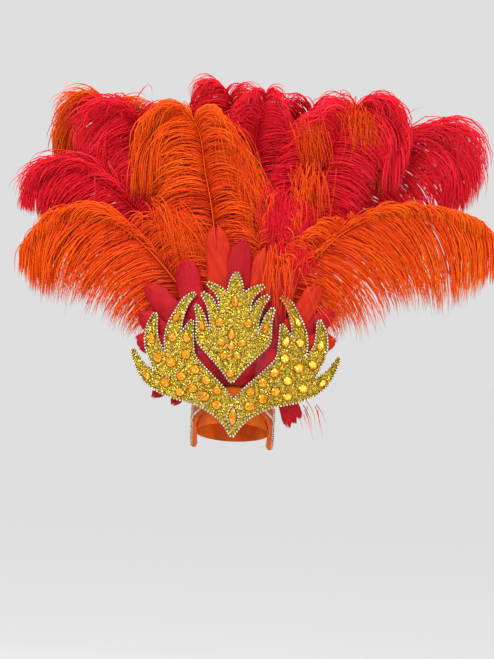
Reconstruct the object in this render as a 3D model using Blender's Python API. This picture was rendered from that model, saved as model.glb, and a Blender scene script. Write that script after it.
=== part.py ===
"""A carnival feather headdress: a satin cap with two ear guards carries a bent, stone-set lower crown
plate and a centre medallion, and a holder block behind them carries satiny flats and thirteen plumes.

Metres, +Z up, the front faces -Y. The origin is where the inside of the cap sits on the top of the head.
The crown is drawn flat, in (x, z), with y as the height off its face, and then swept back round the head."""

from math import cos, exp, hypot, pi, radians, sin, sqrt, tan

import bmesh
import bpy
from mathutils import Vector
from mathutils.geometry import delaunay_2d_cdt

CLEARANCE = 0.0003

HEAD_HALF_WIDTH = 0.079
HEAD_HALF_LENGTH = 0.100
CAP_WALL = 0.0025
CAP_FRONT_RISE = 0.030
CAP_FRONT_DROP = 0.046
CAP_BACK_DROP = 0.095
CAP_SIDES = 20

GUARD_WALL = 0.003
GUARD_STAND_OFF = 0.0009
GUARD_DROP = 0.103

PLATE_THICK = 0.003
BEAD_DIAMETER = 0.0046
RIM_WIDTH = 0.0034
RIM_HEIGHT = 0.0024
RIM_SLOPE = 0.25
TIP_WIDTH = 0.0074
CROWN_SWEEP_RADIUS = 0.42
CROWN_SWEEP_LIMIT = 0.12
CROWN_LEAN = radians(6)
CROWN_STRIP = 0.030

WING_HALF_SPAN = 0.217
WING_HEIGHT = 0.294
V_DROP = 0.0733
MEDALLION_HALF_WIDTH = 0.081
MEDALLION_HEIGHT = 0.228
MEDALLION_FOOT = 0.039
MEDALLION_SHIFT = -0.006
MEDALLION_LIFT = 0.009

BACKING_HALF_WIDTH = 0.106
BACKING_HEIGHT = 0.190
BACKING_FOOT = 0.0331
BACKING_THICK = 0.0025
HOLDER_HALF_WIDTH = 0.085
HOLDER_TOP = 0.120
HOLDER_DEPTH = 0.092

STONE_HEIGHT = 0.0055
STONE_SINK = 0.0008
STONE_SIDES = 8
TABLE_SHARE = 0.60

FAN_REACH = 0.545
FAN_RISE = 0.690
FAN_GAP = 0.0115
FAN_CENTRE_Z = 0.100
LAYER_PITCH_AT_HOLDER = 0.0072
LAYER_PITCH_OUTSIDE = 0.0160
LAYERS_SPREAD_OVER = 0.300
CURL_STARTS_AT = 0.360
CURL_FORWARD = 0.110
CURL_CUTS = (0.67, 0.78, 0.90)
QUILL_WIDTH = 0.006
SHEET_THICK = 0.0026
SHEET_GRID = 0.0009
SHEET_PASSES = 3
SHEET_STRAIGHT = radians(8)
CDT_TRIANGLES = 0
CDT_NEAR = 0.000001
FLATTEST_TRIANGLE = 0.000005
ODD_LOCK_SHIFT = 0.20

# The right half of the lower plate from the V's inner notch round to its tip, as shares of
# WING_HALF_SPAN across and of WING_HEIGHT up from the tip of the V.
WING_OUTLINE = (
    # name, kind, across, up
    ("inner notch", "notch", 0.000, 0.264),
    ("inner edge", "side", 0.112, 0.354),
    ("inner edge", "side", 0.276, 0.469),
    ("inner edge", "side", 0.387, 0.562),
    ("inner edge", "side", 0.409, 0.666),
    ("first flame", "tip", 0.433, 0.805),
    ("first notch", "notch", 0.536, 0.716),
    ("second flame", "side", 0.523, 0.811),
    ("second flame", "side", 0.478, 0.915),
    ("second flame", "tip", 0.419, 1.000),
    ("second flame", "side", 0.523, 0.964),
    ("second flame", "side", 0.600, 0.873),
    ("second flame", "side", 0.667, 0.773),
    ("second flame", "side", 0.692, 0.670),
    ("second notch", "notch", 0.679, 0.572),
    ("third flame", "side", 0.758, 0.680),
    ("third flame", "tip", 0.791, 0.846),
    ("third flame", "side", 0.864, 0.770),
    ("third flame", "side", 0.887, 0.671),
    ("third flame", "side", 0.863, 0.573),
    ("third notch", "notch", 0.776, 0.429),
    ("fourth flame", "side", 0.896, 0.502),
    ("fourth flame", "tip", 1.000, 0.588),
    ("fourth flame", "side", 0.991, 0.510),
    ("fourth flame", "side", 0.938, 0.426),
    ("fourth flame", "side", 0.849, 0.342),
    ("lower edge", "side", 0.731, 0.289),
    ("lower edge", "side", 0.603, 0.252),
    ("lower edge", "side", 0.433, 0.224),
    ("lower edge", "side", 0.310, 0.197),
    ("lower edge", "side", 0.235, 0.165),
    ("lower edge", "side", 0.165, 0.133),
    ("lower edge", "side", 0.080, 0.070),
    ("tip of the V", "tip", 0.000, 0.000),
)

# The right half of the medallion, as shares of its half width and of its height.
MEDALLION_OUTLINE = (
    # name, kind, across, up
    ("spire", "tip", 0.000, 1.000),
    ("spire", "side", 0.120, 0.950),
    ("spire", "side", 0.179, 0.890),
    ("first notch", "notch", 0.215, 0.816),
    ("first flame", "side", 0.407, 0.868),
    ("first flame", "tip", 0.716, 0.890),
    ("first flame", "side", 0.543, 0.811),
    ("first flame", "side", 0.430, 0.737),
    ("second notch", "notch", 0.407, 0.658),
    ("second flame", "side", 0.600, 0.763),
    ("second flame", "tip", 0.858, 0.800),
    ("second flame", "side", 0.753, 0.709),
    ("second flame", "side", 0.655, 0.605),
    ("second flame", "side", 0.623, 0.509),
    ("third notch", "notch", 0.617, 0.443),
    ("third flame", "side", 0.702, 0.531),
    ("third flame", "side", 0.805, 0.623),
    ("third flame", "tip", 1.000, 0.690),
    ("third flame", "side", 0.975, 0.575),
    ("third flame", "side", 0.969, 0.463),
    ("shoulder", "side", 0.951, 0.373),
    ("lower edge", "side", 0.802, 0.301),
    ("lower edge", "side", 0.562, 0.213),
    ("lower edge", "side", 0.315, 0.123),
    ("foot", "tip", 0.000, 0.000),
)

BACKING_OUTLINE = (
    # name, kind, across (of BACKING_HALF_WIDTH), up (of BACKING_HEIGHT)
    ("foot", "side", 0.00, 0.00),
    ("foot", "side", 0.25, 0.00),
    ("lower side", "side", 0.70, 0.11),
    ("side", "side", 0.98, 0.30),
    ("side", "side", 0.98, 0.54),
    ("shoulder", "side", 0.70, 0.78),
    ("head", "side", 0.30, 0.97),
    ("head", "side", 0.00, 1.00),
)

# The cut stones of one wing; the other wing mirrors them. Sizes are shares of STONE_UNIT.
STONE_UNIT = 0.020
WING_STONES = (
    # name, across and up (as the outline), width, height, turn in degrees, cut, own piece
    ("flame_tall", 0.585, 0.831, 0.66, 1.30, 30, "drop", True),
    ("flame_round", 0.622, 0.680, 0.98, 0.98, 0, "oval", True),
    ("inner_drop", 0.484, 0.686, 0.80, 1.30, -20, "drop", True),
    ("outer_drop", 0.822, 0.668, 0.76, 1.32, -10, "drop", True),
    ("outer_round", 0.752, 0.528, 1.00, 1.00, 0, "oval", False),
    ("large_oval", 0.618, 0.501, 1.20, 1.10, 0, "oval", True),
    ("inner_round", 0.479, 0.562, 1.02, 1.02, 0, "oval", False),
    ("end_oval", 0.853, 0.398, 0.62, 1.10, -52, "oval", True),
    ("middle_outer", 0.667, 0.356, 1.14, 0.95, 20, "oval", False),
    ("middle", 0.516, 0.407, 1.10, 0.95, 20, "oval", False),
    ("middle_inner", 0.387, 0.460, 1.10, 0.95, 30, "oval", False),
    ("inner_low", 0.272, 0.386, 1.05, 0.92, 30, "oval", False),
    ("low_outer", 0.521, 0.294, 1.05, 0.88, 10, "oval", False),
    ("low_middle", 0.401, 0.325, 1.05, 0.92, 20, "oval", False),
    ("notch_oval", 0.161, 0.319, 0.95, 0.88, 30, "oval", False),
    ("brow_round", 0.281, 0.273, 1.12, 1.12, 0, "oval", True),
    ("brow_oval", 0.159, 0.215, 1.18, 1.02, 10, "oval", True),
)
MEDALLION_STONES = (
    # name, across and up (as its outline), width, height, turn in degrees, cut
    ("spire_drop", 0.000, 0.742, 0.70, 1.25, 0, "drop"),
    ("left_round", -0.380, 0.540, 0.95, 0.95, 0, "oval"),
    ("right_round", 0.370, 0.540, 0.95, 0.95, 0, "oval"),
    ("left_drop", -0.822, 0.507, 0.58, 1.25, 8, "drop"),
    ("right_drop", 0.822, 0.507, 0.58, 1.25, -8, "drop"),
    ("flower_eye", -0.050, 0.326, 0.80, 0.80, 0, "oval"),
    ("foot_round", -0.040, 0.078, 0.90, 0.90, 0, "oval"),
)
FLOWER_PETALS = 5
FLOWER_RADIUS = 0.0235
PETAL_WIDTH = 0.76
PETAL_HEIGHT = 1.04
MARQUISE_WIDTH = 0.88
MARQUISE_HEIGHT = 1.95
MARQUISE_UP = 0.137

# The plumes. Routes run from the holder to the tip, as shares of FAN_REACH and of FAN_RISE. Barb lengths
# at the start, the middle and the tip are shares of BARB_UNIT, on the left and right hand of that travel.
BARB_UNIT = 0.100
PLUMES = (
    # name, colour, layer, bare share of the quill, droop, left barbs, right barbs, route
    ("plume_low_left_orange", "orange", 2.0, 0.20, 0.80, (1.45, 1.95, 0.80), (1.25, 1.05, 0.50),
     ((-0.07, 0.175), (-0.16, 0.24), (-0.237, 0.345), (-0.372, 0.459), (-0.50, 0.528), (-0.62, 0.555),
      (-0.735, 0.535), (-0.825, 0.47))),
    ("plume_low_right_orange", "orange", 2.0, 0.20, 0.80, (1.0, 0.75, 0.42), (1.7, 2.15, 0.75),
     ((0.07, 0.175), (0.19, 0.37), (0.30, 0.452), (0.39, 0.523), (0.49, 0.571), (0.60, 0.603),
      (0.75, 0.61), (0.89, 0.585), (0.975, 0.535))),
    ("plume_centre_right_orange", "orange", 3.0, 0.30, 0.95, (0.5, 0.50, 0.60), (0.5, 0.60, 0.75),
     ((0.06, 0.175), (0.105, 0.36), (0.135, 0.52), (0.155, 0.62), (0.185, 0.655), (0.22, 0.63))),
    ("plume_centre_left_orange", "orange", 4.0, 0.30, 0.75, (1.2, 1.35, 1.00), (1.25, 0.95, 0.80),
     ((-0.05, 0.175), (-0.11, 0.54), (-0.15, 0.69), (-0.175, 0.80), (-0.215, 0.862), (-0.28, 0.875),
      (-0.335, 0.852), (-0.365, 0.80))),
    ("plume_left_red", "red", 5.0, 0.33, 0.62, (0.9, 1.35, 0.38), (1.0, 1.25, 0.42),
     ((-0.12, 0.175), (-0.27, 0.42), (-0.45, 0.59), (-0.62, 0.68), (-0.75, 0.685), (-0.83, 0.62))),
    ("plume_upper_right_red", "red", 5.0, 0.30, 0.75, (1.2, 1.15, 0.60), (1.2, 1.35, 0.80),
     ((0.10, 0.175), (0.23, 0.56), (0.33, 0.78), (0.43, 0.905), (0.52, 0.92), (0.58, 0.86),
      (0.59, 0.79))),
    ("plume_upper_left_red", "red", 6.0, 0.38, 0.65, (1.0, 1.30, 0.85), (1.0, 1.25, 0.55),
     ((-0.09, 0.175), (-0.22, 0.54), (-0.33, 0.73), (-0.43, 0.845), (-0.52, 0.868), (-0.58, 0.82),
      (-0.605, 0.74))),
    ("plume_upper_right_orange", "orange", 6.0, 0.42, 0.80, (0.9, 0.85, 0.80), (0.9, 0.95, 0.85),
     ((0.08, 0.175), (0.22, 0.51), (0.32, 0.72), (0.41, 0.845), (0.48, 0.865), (0.535, 0.81))),
    ("plume_top_centre_red", "red", 7.0, 0.28, 0.55, (1.1, 1.30, 0.45), (1.1, 1.35, 0.50),
     ((0.035, 0.175), (0.036, 0.46), (0.037, 0.70), (0.045, 0.85), (0.072, 0.945))),
    ("plume_top_left_red", "red", 8.0, 0.38, 0.60, (1.0, 1.20, 0.55), (0.9, 0.90, 0.45),
     ((-0.012, 0.175), (-0.012, 0.61), (-0.045, 0.87), (-0.090, 0.945), (-0.14, 0.955), (-0.175, 0.90))),
    ("plume_right_red", "red", 8.0, 0.34, 0.70, (1.0, 1.75, 0.60), (1.1, 1.70, 0.70),
     ((0.12, 0.175), (0.24, 0.48), (0.36, 0.61), (0.46, 0.70), (0.57, 0.76), (0.66, 0.815),
      (0.75, 0.835), (0.82, 0.79), (0.835, 0.72))),
    ("plume_far_left_orange", "orange", 9.0, 0.48, 0.65, (0.8, 0.90, 0.60), (0.9, 1.00, 0.50),
     ((-0.10, 0.175), (-0.29, 0.49), (-0.43, 0.72), (-0.535, 0.865), (-0.61, 0.895), (-0.68, 0.855),
      (-0.71, 0.78))),
    ("plume_top_right_red", "red", 10.0, 0.42, 0.60, (1.0, 1.25, 0.45), (1.0, 1.30, 0.60),
     ((0.06, 0.175), (0.14, 0.58), (0.20, 0.80), (0.26, 0.90), (0.33, 0.915), (0.38, 0.87))),
)
LOCKS_A_SIDE = 8
BARE_STEPS = 3
LOCK_STEPS = 3
BARB_ANGLE = radians(52)
LOCK_WIDTHS = (0.96, 0.80, 0.0)
# Past FOLD_FROM of the feathered stretch the barbs turn down sooner, by up to FOLD more.
FOLD_FROM = 0.45
FOLD = 1.1
FULLY_BENT = 0.96

# The satiny flats. Each tuft grows from a straight root, whose ends are shares of HOLDER_HALF_WIDTH and
# HOLDER_TOP, and each of its feathers runs to its own tip, in shares of FAN_REACH and FAN_RISE.
FLAT_STATIONS = (0, 0.30, 0.62, 0.90, 1.0)
FLAT_WIDTHS = (0.72, 1.0, 0.86, 0.42)
FLATS = (
    # name, colour, layer, feather width in metres, root ends, tips
    ("flats_left", "red", 0.0, 0.050, ((-1.0, 0.74), (-1.0, 1.0)),
     ((-0.392, 0.175), (-0.385, 0.255), (-0.362, 0.345))),
    ("flats_centre", "red", 0.0, 0.056, ((-0.90, 1.0), (0.90, 1.0)),
     ((-0.215, 0.430), (-0.100, 0.540), (0.005, 0.500), (0.105, 0.475), (0.205, 0.425))),
    ("flats_right", "orange", 0.0, 0.046, ((1.0, 1.0), (1.0, 0.74)),
     ((0.310, 0.370), (0.375, 0.290), (0.388, 0.200))),
    ("flats_low_left", "red", 1.0, 0.028, ((-1.0, 0.46), (-1.0, 0.62)),
     ((-0.235, -0.024), (-0.318, -0.004))),
    ("flats_low_right", "red", 1.0, 0.026, ((1.0, 0.66), (1.0, 0.42)),
     ((0.262, -0.048), (0.243, -0.066), (0.218, -0.078))),
)

# One ear guard, as heights down from the seat (shares of GUARD_DROP) and how far its front and rear edges
# lie behind the head's middle (shares of HEAD_HALF_LENGTH).
GUARD_ROWS = (
    # down, front edge, rear edge
    (0.10, -0.80, -0.10),
    (0.22, -0.78, -0.04),
    (0.34, -0.56, -0.02),
    (0.55, -0.42, -0.04),
    (0.78, -0.47, -0.10),
    (0.92, -0.50, -0.18),
    (1.00, -0.38, -0.30),
)
GUARD_COLUMNS = 6
TRIM_POINTS = 10
TRIM_ROUTES = (
    # name, then the route's points: down (of GUARD_DROP), lengthwise (of HEAD_HALF_LENGTH)
    ("outer", ((0.13, -0.10), (0.34, -0.04), (0.55, -0.07), (0.78, -0.13), (0.93, -0.21), (0.985, -0.30))),
    ("brow", ((0.155, -0.76), (0.20, -0.68), (0.27, -0.55), (0.36, -0.36), (0.47, -0.20))),
)

COLOURS = {
    # name: colour, roughness, metallic
    "orange satin": ((0.80, 0.22, 0.02), 0.45, 0.0),
    "red satin": ((0.60, 0.01, 0.03), 0.40, 0.0),
    "orange": ((0.90, 0.13, 0.01), 0.80, 0.0),
    "red": ((0.62, 0.01, 0.03), 0.80, 0.0),
    "gold glitter": ((0.72, 0.48, 0.04), 0.35, 0.8),
    "gold": ((0.80, 0.55, 0.12), 0.30, 1.0),
    "amber": ((0.95, 0.45, 0.02), 0.10, 0.0),
    "black board": ((0.03, 0.03, 0.03), 0.80, 0.0),
}


def clear_scene():
    for old in list(bpy.data.objects):
        bpy.data.objects.remove(old, do_unlink=True)


def material(name, colour_name):
    colour, roughness, metallic = COLOURS[colour_name]
    made = bpy.data.materials.new(name)
    made.use_nodes = True
    shader = made.node_tree.nodes["Principled BSDF"]
    shader.inputs["Base Color"].default_value = (*colour, 1)
    shader.inputs["Roughness"].default_value = roughness
    shader.inputs["Metallic"].default_value = metallic
    return made


def finish(bm, name, colour_name, smooth=0):
    """Closes the books on one solid: normals, triangles, the object and its own material."""
    bmesh.ops.recalc_face_normals(bm, faces=bm.faces)
    bmesh.ops.triangulate(bm, faces=bm.faces)
    mesh = bpy.data.meshes.new(name)
    bm.to_mesh(mesh)
    bm.free()
    mesh.materials.append(material(name, colour_name))
    if smooth:
        mesh.shade_smooth()
        mesh.set_sharp_from_angle(angle=radians(smooth))
    made = bpy.data.objects.new(name, mesh)
    bpy.context.scene.collection.objects.link(made)
    return made


def through(points, steps):
    """A smooth curve through 2-D points, with this many steps to each stretch between two of them."""
    points = [Vector(point) for point in points]
    ends = [2 * points[0] - points[1], *points, 2 * points[-1] - points[-2]]
    curve = []
    for a, b, c, d in zip(ends, ends[1:], ends[2:], ends[3:]):
        for step in range(steps):
            t = step / steps
            curve.append(0.5 * (2 * b + (c - a) * t + (2 * a - 5 * b + 4 * c - d) * t**2
                                + (3 * b - a - 3 * c + d) * t**3))
    return curve + [points[-1]]


def evenly(curve, count):
    """count + 1 points at even distances along a polyline, and the share of its length at each."""
    lengths = [0]
    for a, b in zip(curve, curve[1:]):
        lengths.append(lengths[-1] + (b - a).length)
    spots = []
    at = 0
    for index in range(count + 1):
        wanted = lengths[-1] * index / count
        while at < len(curve) - 2 and lengths[at + 1] < wanted:
            at += 1
        share = (wanted - lengths[at]) / (lengths[at + 1] - lengths[at])
        spots.append(curve[at].lerp(curve[at + 1], share))
    return spots


def crown_depth(x, z):
    """How far back the crown's face lies: it sweeps round the head and leans back above the cap."""
    sweep = CROWN_SWEEP_LIMIT * (1 - exp(-x**2 / (2 * CROWN_SWEEP_RADIUS * CROWN_SWEEP_LIMIT)))
    lean = max(0, z - CAP_FRONT_RISE) * tan(CROWN_LEAN)
    touching_cap = HEAD_HALF_LENGTH + CAP_WALL + CLEARANCE + PLATE_THICK
    return sweep + lean - touching_cap


def fan_depth(x, z, layer):
    """How far back a feather of this layer lies. Layers open out from the holder, and tips curl forward."""
    reach = hypot(x, z - FAN_CENTRE_Z)
    spread = min(1, reach / LAYERS_SPREAD_OVER)
    pitch = LAYER_PITCH_AT_HOLDER + (LAYER_PITCH_OUTSIDE - LAYER_PITCH_AT_HOLDER) * spread
    curl = max(0, (reach - CURL_STARTS_AT) / (FAN_RISE - FAN_CENTRE_Z - CURL_STARTS_AT))
    return crown_depth(x, z) + FAN_GAP + layer * pitch - CURL_FORWARD * curl**2


def bend_to_crown(bm):
    for vert in bm.verts:
        vert.co.y += crown_depth(vert.co.x, vert.co.z)


def half_outline(rows, across, up, foot):
    """The rows' places in metres, with each cusp a blunt end as wide as the beads that turn round it."""
    places = [Vector((row[2] * across, row[3] * up + foot)) for row in rows]
    runs = [[]]
    for index, row in enumerate(rows):
        here = places[index]
        if row[1] == "side":
            runs[-1].append(here)
            continue
        before = places[index - 1] if index else Vector((-places[1].x, places[1].y))
        after = places[index + 1] if index + 1 < len(rows) else Vector((-before.x, before.y))
        width = TIP_WIDTH / 2 if row[1] == "tip" else 0
        along = (after - here).normalized() - (before - here).normalized()
        side = along.normalized() * width
        runs[-1].append(here - side)
        runs.append([here + side])
    return [run for run in runs if len(run) > 1]


def whole_outline(rows, across, up, foot, shift=0, steps=2):
    """A closed outline: the right half's smooth runs between corners, then the same mirrored."""
    half = []
    for run in half_outline(rows, across, up, foot):
        for point in through(run, steps):
            if not half or (point - half[-1]).length > CLEARANCE:
                half.append(point)
    mirrored = [Vector((-point.x, point.y)) for point in reversed(half) if point.x > CLEARANCE]
    return [Vector((point.x + shift, point.y)) for point in half + mirrored]


def plate(name, outline, colour_name, front, thick, rim_width=0, rim_height=0):
    """A plate cut to an outline, cut into strips so that it bends, with a raised rim for its beads."""
    bm = bmesh.new()
    field = bm.faces.new([bm.verts.new((point.x, front - rim_height, point.y)) for point in outline])
    for width in (rim_width, rim_height * RIM_SLOPE):
        if width:
            bmesh.ops.inset_region(bm, faces=[field], thickness=width, use_even_offset=True,
                                   use_boundary=True)
    for vert in field.verts:
        vert.co.y = front
    widest = max(abs(point.x) for point in outline)
    strips = int(widest / CROWN_STRIP)
    for index in range(-strips, strips + 1):
        cut_across(bm, (index * CROWN_STRIP, 0, 0), (1, 0, 0))
    cut_across(bm, (0, 0, CAP_FRONT_RISE), (0, 0, 1))
    for vert in thicken(bm, thick):
        vert.co.y = front + thick
    bend_to_crown(bm)
    return finish(bm, name, colour_name)


def cut_across(bm, place, normal):
    bmesh.ops.bisect_plane(bm, geom=bm.verts[:] + bm.edges[:] + bm.faces[:], plane_co=place,
                           plane_no=normal, dist=CLEARANCE)


def thicken(bm, thick):
    """Makes an open sheet a closed solid that reaches this far back, and returns its back vertices."""
    copied = bmesh.ops.extrude_face_region(bm, geom=bm.faces[:], use_keep_orig=True)["geom"]
    back = [item for item in copied if isinstance(item, bmesh.types.BMVert)]
    bmesh.ops.translate(bm, vec=(0, thick, 0), verts=back)
    return back


def stone_girdle(cut, width, height, turn):
    """The outline of a cut stone, flat, about its own middle."""
    corners = []
    for index in range(STONE_SIDES):
        angle = 2 * pi * (index + 0.5) / STONE_SIDES
        across, up = cos(angle), sin(angle)
        if cut == "drop":
            across *= 1 - 0.42 * up
        if cut == "marquise":
            across, up = cos(angle) * (1 - 0.35 * abs(sin(angle))), sin(angle) * 1.08
        corners.append((across * width / 2 * cos(turn) - up * height / 2 * sin(turn),
                        across * width / 2 * sin(turn) + up * height / 2 * cos(turn)))
    return corners


def add_stone(bm, cut, middle, size, turn, front):
    """A flat-backed stone: a girdle, a crown of facets and a table."""
    girdle = stone_girdle(cut, size[0] * STONE_UNIT, size[1] * STONE_UNIT, radians(turn))
    seat = [bm.verts.new((middle[0] + across, front, middle[1] + up)) for across, up in girdle]
    table = [bm.verts.new((middle[0] + across * TABLE_SHARE, front - STONE_HEIGHT,
                           middle[1] + up * TABLE_SHARE)) for across, up in girdle]
    bm.faces.new(seat)
    bm.faces.new(table)
    for index in range(STONE_SIDES):
        after = (index + 1) % STONE_SIDES
        bm.faces.new((seat[index], seat[after], table[after], table[index]))


def stone(name, cut, middle, size, turn, front):
    bm = bmesh.new()
    add_stone(bm, cut, middle, size, turn, front)
    bend_to_crown(bm)
    return finish(bm, name, "amber")


def fuse(target, bm):
    """Joins the solids in bm to the target, which they are sunk into."""
    bmesh.ops.recalc_face_normals(bm, faces=bm.faces)
    mesh = bpy.data.meshes.new("set stones")
    bm.to_mesh(mesh)
    bm.free()
    helper = bpy.data.objects.new("set_stones_of_" + target.name, mesh)
    bpy.context.scene.collection.objects.link(helper)
    helper.hide_render = True
    helper.display_type = "WIRE"
    join = target.modifiers.new("set stones", "BOOLEAN")
    join.operation = "UNION"
    join.object = helper


def wing_place(across, up):
    return across * WING_HALF_SPAN, up * WING_HEIGHT - V_DROP


def medallion_place(across, up):
    return across * MEDALLION_HALF_WIDTH + MEDALLION_SHIFT, up * MEDALLION_HEIGHT + MEDALLION_FOOT


def make_lower_plate():
    outline = whole_outline(WING_OUTLINE, WING_HALF_SPAN, WING_HEIGHT, -V_DROP)
    made = plate("lower_crown_plate", outline, "gold glitter", 0, PLATE_THICK, RIM_WIDTH, RIM_HEIGHT)
    fused = bmesh.new()
    for name, across, up, width, height, turn, cut, own in WING_STONES:
        for side, word in ((-1, "left"), (1, "right")):
            x, z = wing_place(across * side, up)
            if own:
                stone(f"stone_{word}_{name}", cut, (x, z), (width, height), turn * side, -CLEARANCE)
            else:
                add_stone(fused, cut, (x, z), (width, height), turn * side, STONE_SINK)
    bend_to_crown(fused)
    fuse(made, fused)
    stone("stone_brow_marquise", "marquise", wing_place(0, MARQUISE_UP), (MARQUISE_WIDTH, MARQUISE_HEIGHT),
          0, -CLEARANCE)


def make_medallion():
    outline = whole_outline(MEDALLION_OUTLINE, MEDALLION_HALF_WIDTH, MEDALLION_HEIGHT, MEDALLION_FOOT,
                            MEDALLION_SHIFT)
    plate("medallion_plate", outline, "gold glitter", -MEDALLION_LIFT, PLATE_THICK, RIM_WIDTH, RIM_HEIGHT)
    front = -MEDALLION_LIFT - CLEARANCE
    for name, across, up, width, height, turn, cut in MEDALLION_STONES:
        stone(f"stone_medallion_{name}", cut, medallion_place(across, up), (width, height), turn, front)
        if name == "flower_eye":
            eye = medallion_place(across, up)
    for index in range(FLOWER_PETALS):
        turn = 360 * index / FLOWER_PETALS
        middle = (eye[0] - FLOWER_RADIUS * sin(radians(turn)), eye[1] + FLOWER_RADIUS * cos(radians(turn)))
        stone(f"stone_petal_{index + 1}", "oval", middle, (PETAL_WIDTH, PETAL_HEIGHT), turn, front)


def make_backing():
    """The red satin board behind the plates, the hidden post under the medallion and the plume holder."""
    board_front = PLATE_THICK + CLEARANCE
    half = [Vector((row[2] * BACKING_HALF_WIDTH, row[3] * BACKING_HEIGHT + BACKING_FOOT))
            for row in BACKING_OUTLINE]
    half = through(half, 2)
    outline = half + [Vector((-point.x, point.y)) for point in reversed(half[1:-1])]
    plate("satin_backing", outline, "red satin", board_front, BACKING_THICK)
    post_front = PLATE_THICK - MEDALLION_LIFT + CLEARANCE
    post_half = MEDALLION_HALF_WIDTH * 0.30
    post_low = MEDALLION_FOOT + MEDALLION_HEIGHT * 0.20
    post_high = MEDALLION_FOOT + MEDALLION_HEIGHT * 0.55
    plate("medallion_post", box_outline(post_half, post_low, post_high, MEDALLION_SHIFT), "black board",
          post_front, board_front - CLEARANCE - post_front)
    over_cap = CAP_FRONT_RISE + CAP_WALL + CLEARANCE * 2
    plate("plume_holder", box_outline(HOLDER_HALF_WIDTH, over_cap, HOLDER_TOP), "black board",
          board_front + BACKING_THICK + CLEARANCE, HOLDER_DEPTH)


def box_outline(half_width, low, high, shift=0):
    return [Vector((shift + x * half_width, z)) for x, z in ((-1, low), (1, low), (1, high), (-1, high))]


def barb_length(lengths, along):
    """The barbs' length this far along the feathered stretch, from the start, middle and tip values."""
    start, middle, tip = lengths
    if along < 0.5:
        return BARB_UNIT * (start + (middle - start) * sin(pi * along))
    return BARB_UNIT * (tip + (middle - tip) * sin(pi * along))


def barb_line(root, tangent, side, length, droop, steps):
    """A barb's line: it leaves the quill at an angle and turns down towards its end."""
    normal = Vector((-tangent.y, tangent.x)) * side
    heading = tangent * cos(BARB_ANGLE) + normal * sin(BARB_ANGLE)
    down = Vector((0, -1))
    line = [root]
    for step in range(steps):
        bent = min(FULLY_BENT, droop * (step + 0.6) / steps)
        turned = (heading * (1 - bent) + down * bent).normalized()
        line.append(line[-1] + turned * length / steps)
    return line


def new_sheet():
    """A feather drawn flat: places, the layer of each, triangles that may overlap, and edges to bend at."""
    return {"places": [], "layers": [], "triangles": [], "bends": []}


def add_place(sheet, place, layer):
    sheet["places"].append(place)
    sheet["layers"].append(layer)
    return len(sheet["places"]) - 1


def add_triangles(sheet, corners):
    """A fan of triangles over the corners, each turned the same way round, without the flat ones."""
    for second, third in zip(corners[1:], corners[2:]):
        a, b, c = (sheet["places"][index] for index in (corners[0], second, third))
        doubled_area = (b - a).cross(c - a)
        if abs(doubled_area) > FLATTEST_TRIANGLE * max((b - a).length, (c - b).length, (a - c).length):
            sheet["triangles"].append((corners[0], second, third) if doubled_area > 0
                                      else (corners[0], third, second))


def add_lock(sheet, root_low, root_high, line, width, widths, layer):
    """A strip from two root places along a line, each step as wide as its share, ending in a point."""
    low, high = root_low, root_high
    for step, share in enumerate(widths):
        here = line[step + 1]
        ahead = (here - line[step]).normalized()
        across = Vector((-ahead.y, ahead.x)) * width * share / 2
        if share == 0:
            add_triangles(sheet, (low, high, add_place(sheet, here, layer)))
            return
        next_low = add_place(sheet, here - across, layer)
        next_high = add_place(sheet, here + across, layer)
        beside = sheet["places"][low]
        if (here - across - beside).length > (here + across - beside).length:
            next_low, next_high = next_high, next_low
        add_triangles(sheet, (low, high, next_high, next_low))
        low, high = next_low, next_high


def part_touching_corners(bm):
    """Opens each corner at which the sheet only touches itself, and draws its sides apart."""
    for vert in [vert for vert in bm.verts if sum(edge.is_boundary for edge in vert.link_edges) > 2]:
        rim = [edge for edge in vert.link_edges if edge.is_boundary]
        for corner in bmesh.utils.vert_separate(vert, rim):
            middles = [face.calc_center_median() for face in corner.link_faces]
            middle = sum(middles, Vector((0, 0, 0))) / len(middles)
            corner.co += (middle - corner.co).normalized() * SHEET_GRID


def join_overlaps(sheet, layer):
    """The same sheet with its overlapping triangles cut and joined to one cover, on a fine grid."""
    for _ in range(SHEET_PASSES):
        onto_grid = new_sheet()
        for place, place_layer in zip(sheet["places"], sheet["layers"]):
            across, up = (round(value / SHEET_GRID) * SHEET_GRID for value in place)
            add_place(onto_grid, Vector((across, up)), place_layer)
        for triangle in sheet["triangles"]:
            add_triangles(onto_grid, triangle)
        bends = sheet["bends"]
        places, edges, faces, from_places, from_edges, from_triangles = delaunay_2d_cdt(
            onto_grid["places"], bends, onto_grid["triangles"], CDT_TRIANGLES, CDT_NEAR, True)
        sheet = new_sheet()
        for place, origins in zip(places, from_places):
            add_place(sheet, place, max((onto_grid["layers"][index] for index in origins), default=layer))
        sheet["triangles"] = [face for face, origins in zip(faces, from_triangles) if origins]
        sheet["bends"] = [edge for edge, origins in zip(edges, from_edges)
                          if any(index < len(bends) for index in origins)]
    return sheet


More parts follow.
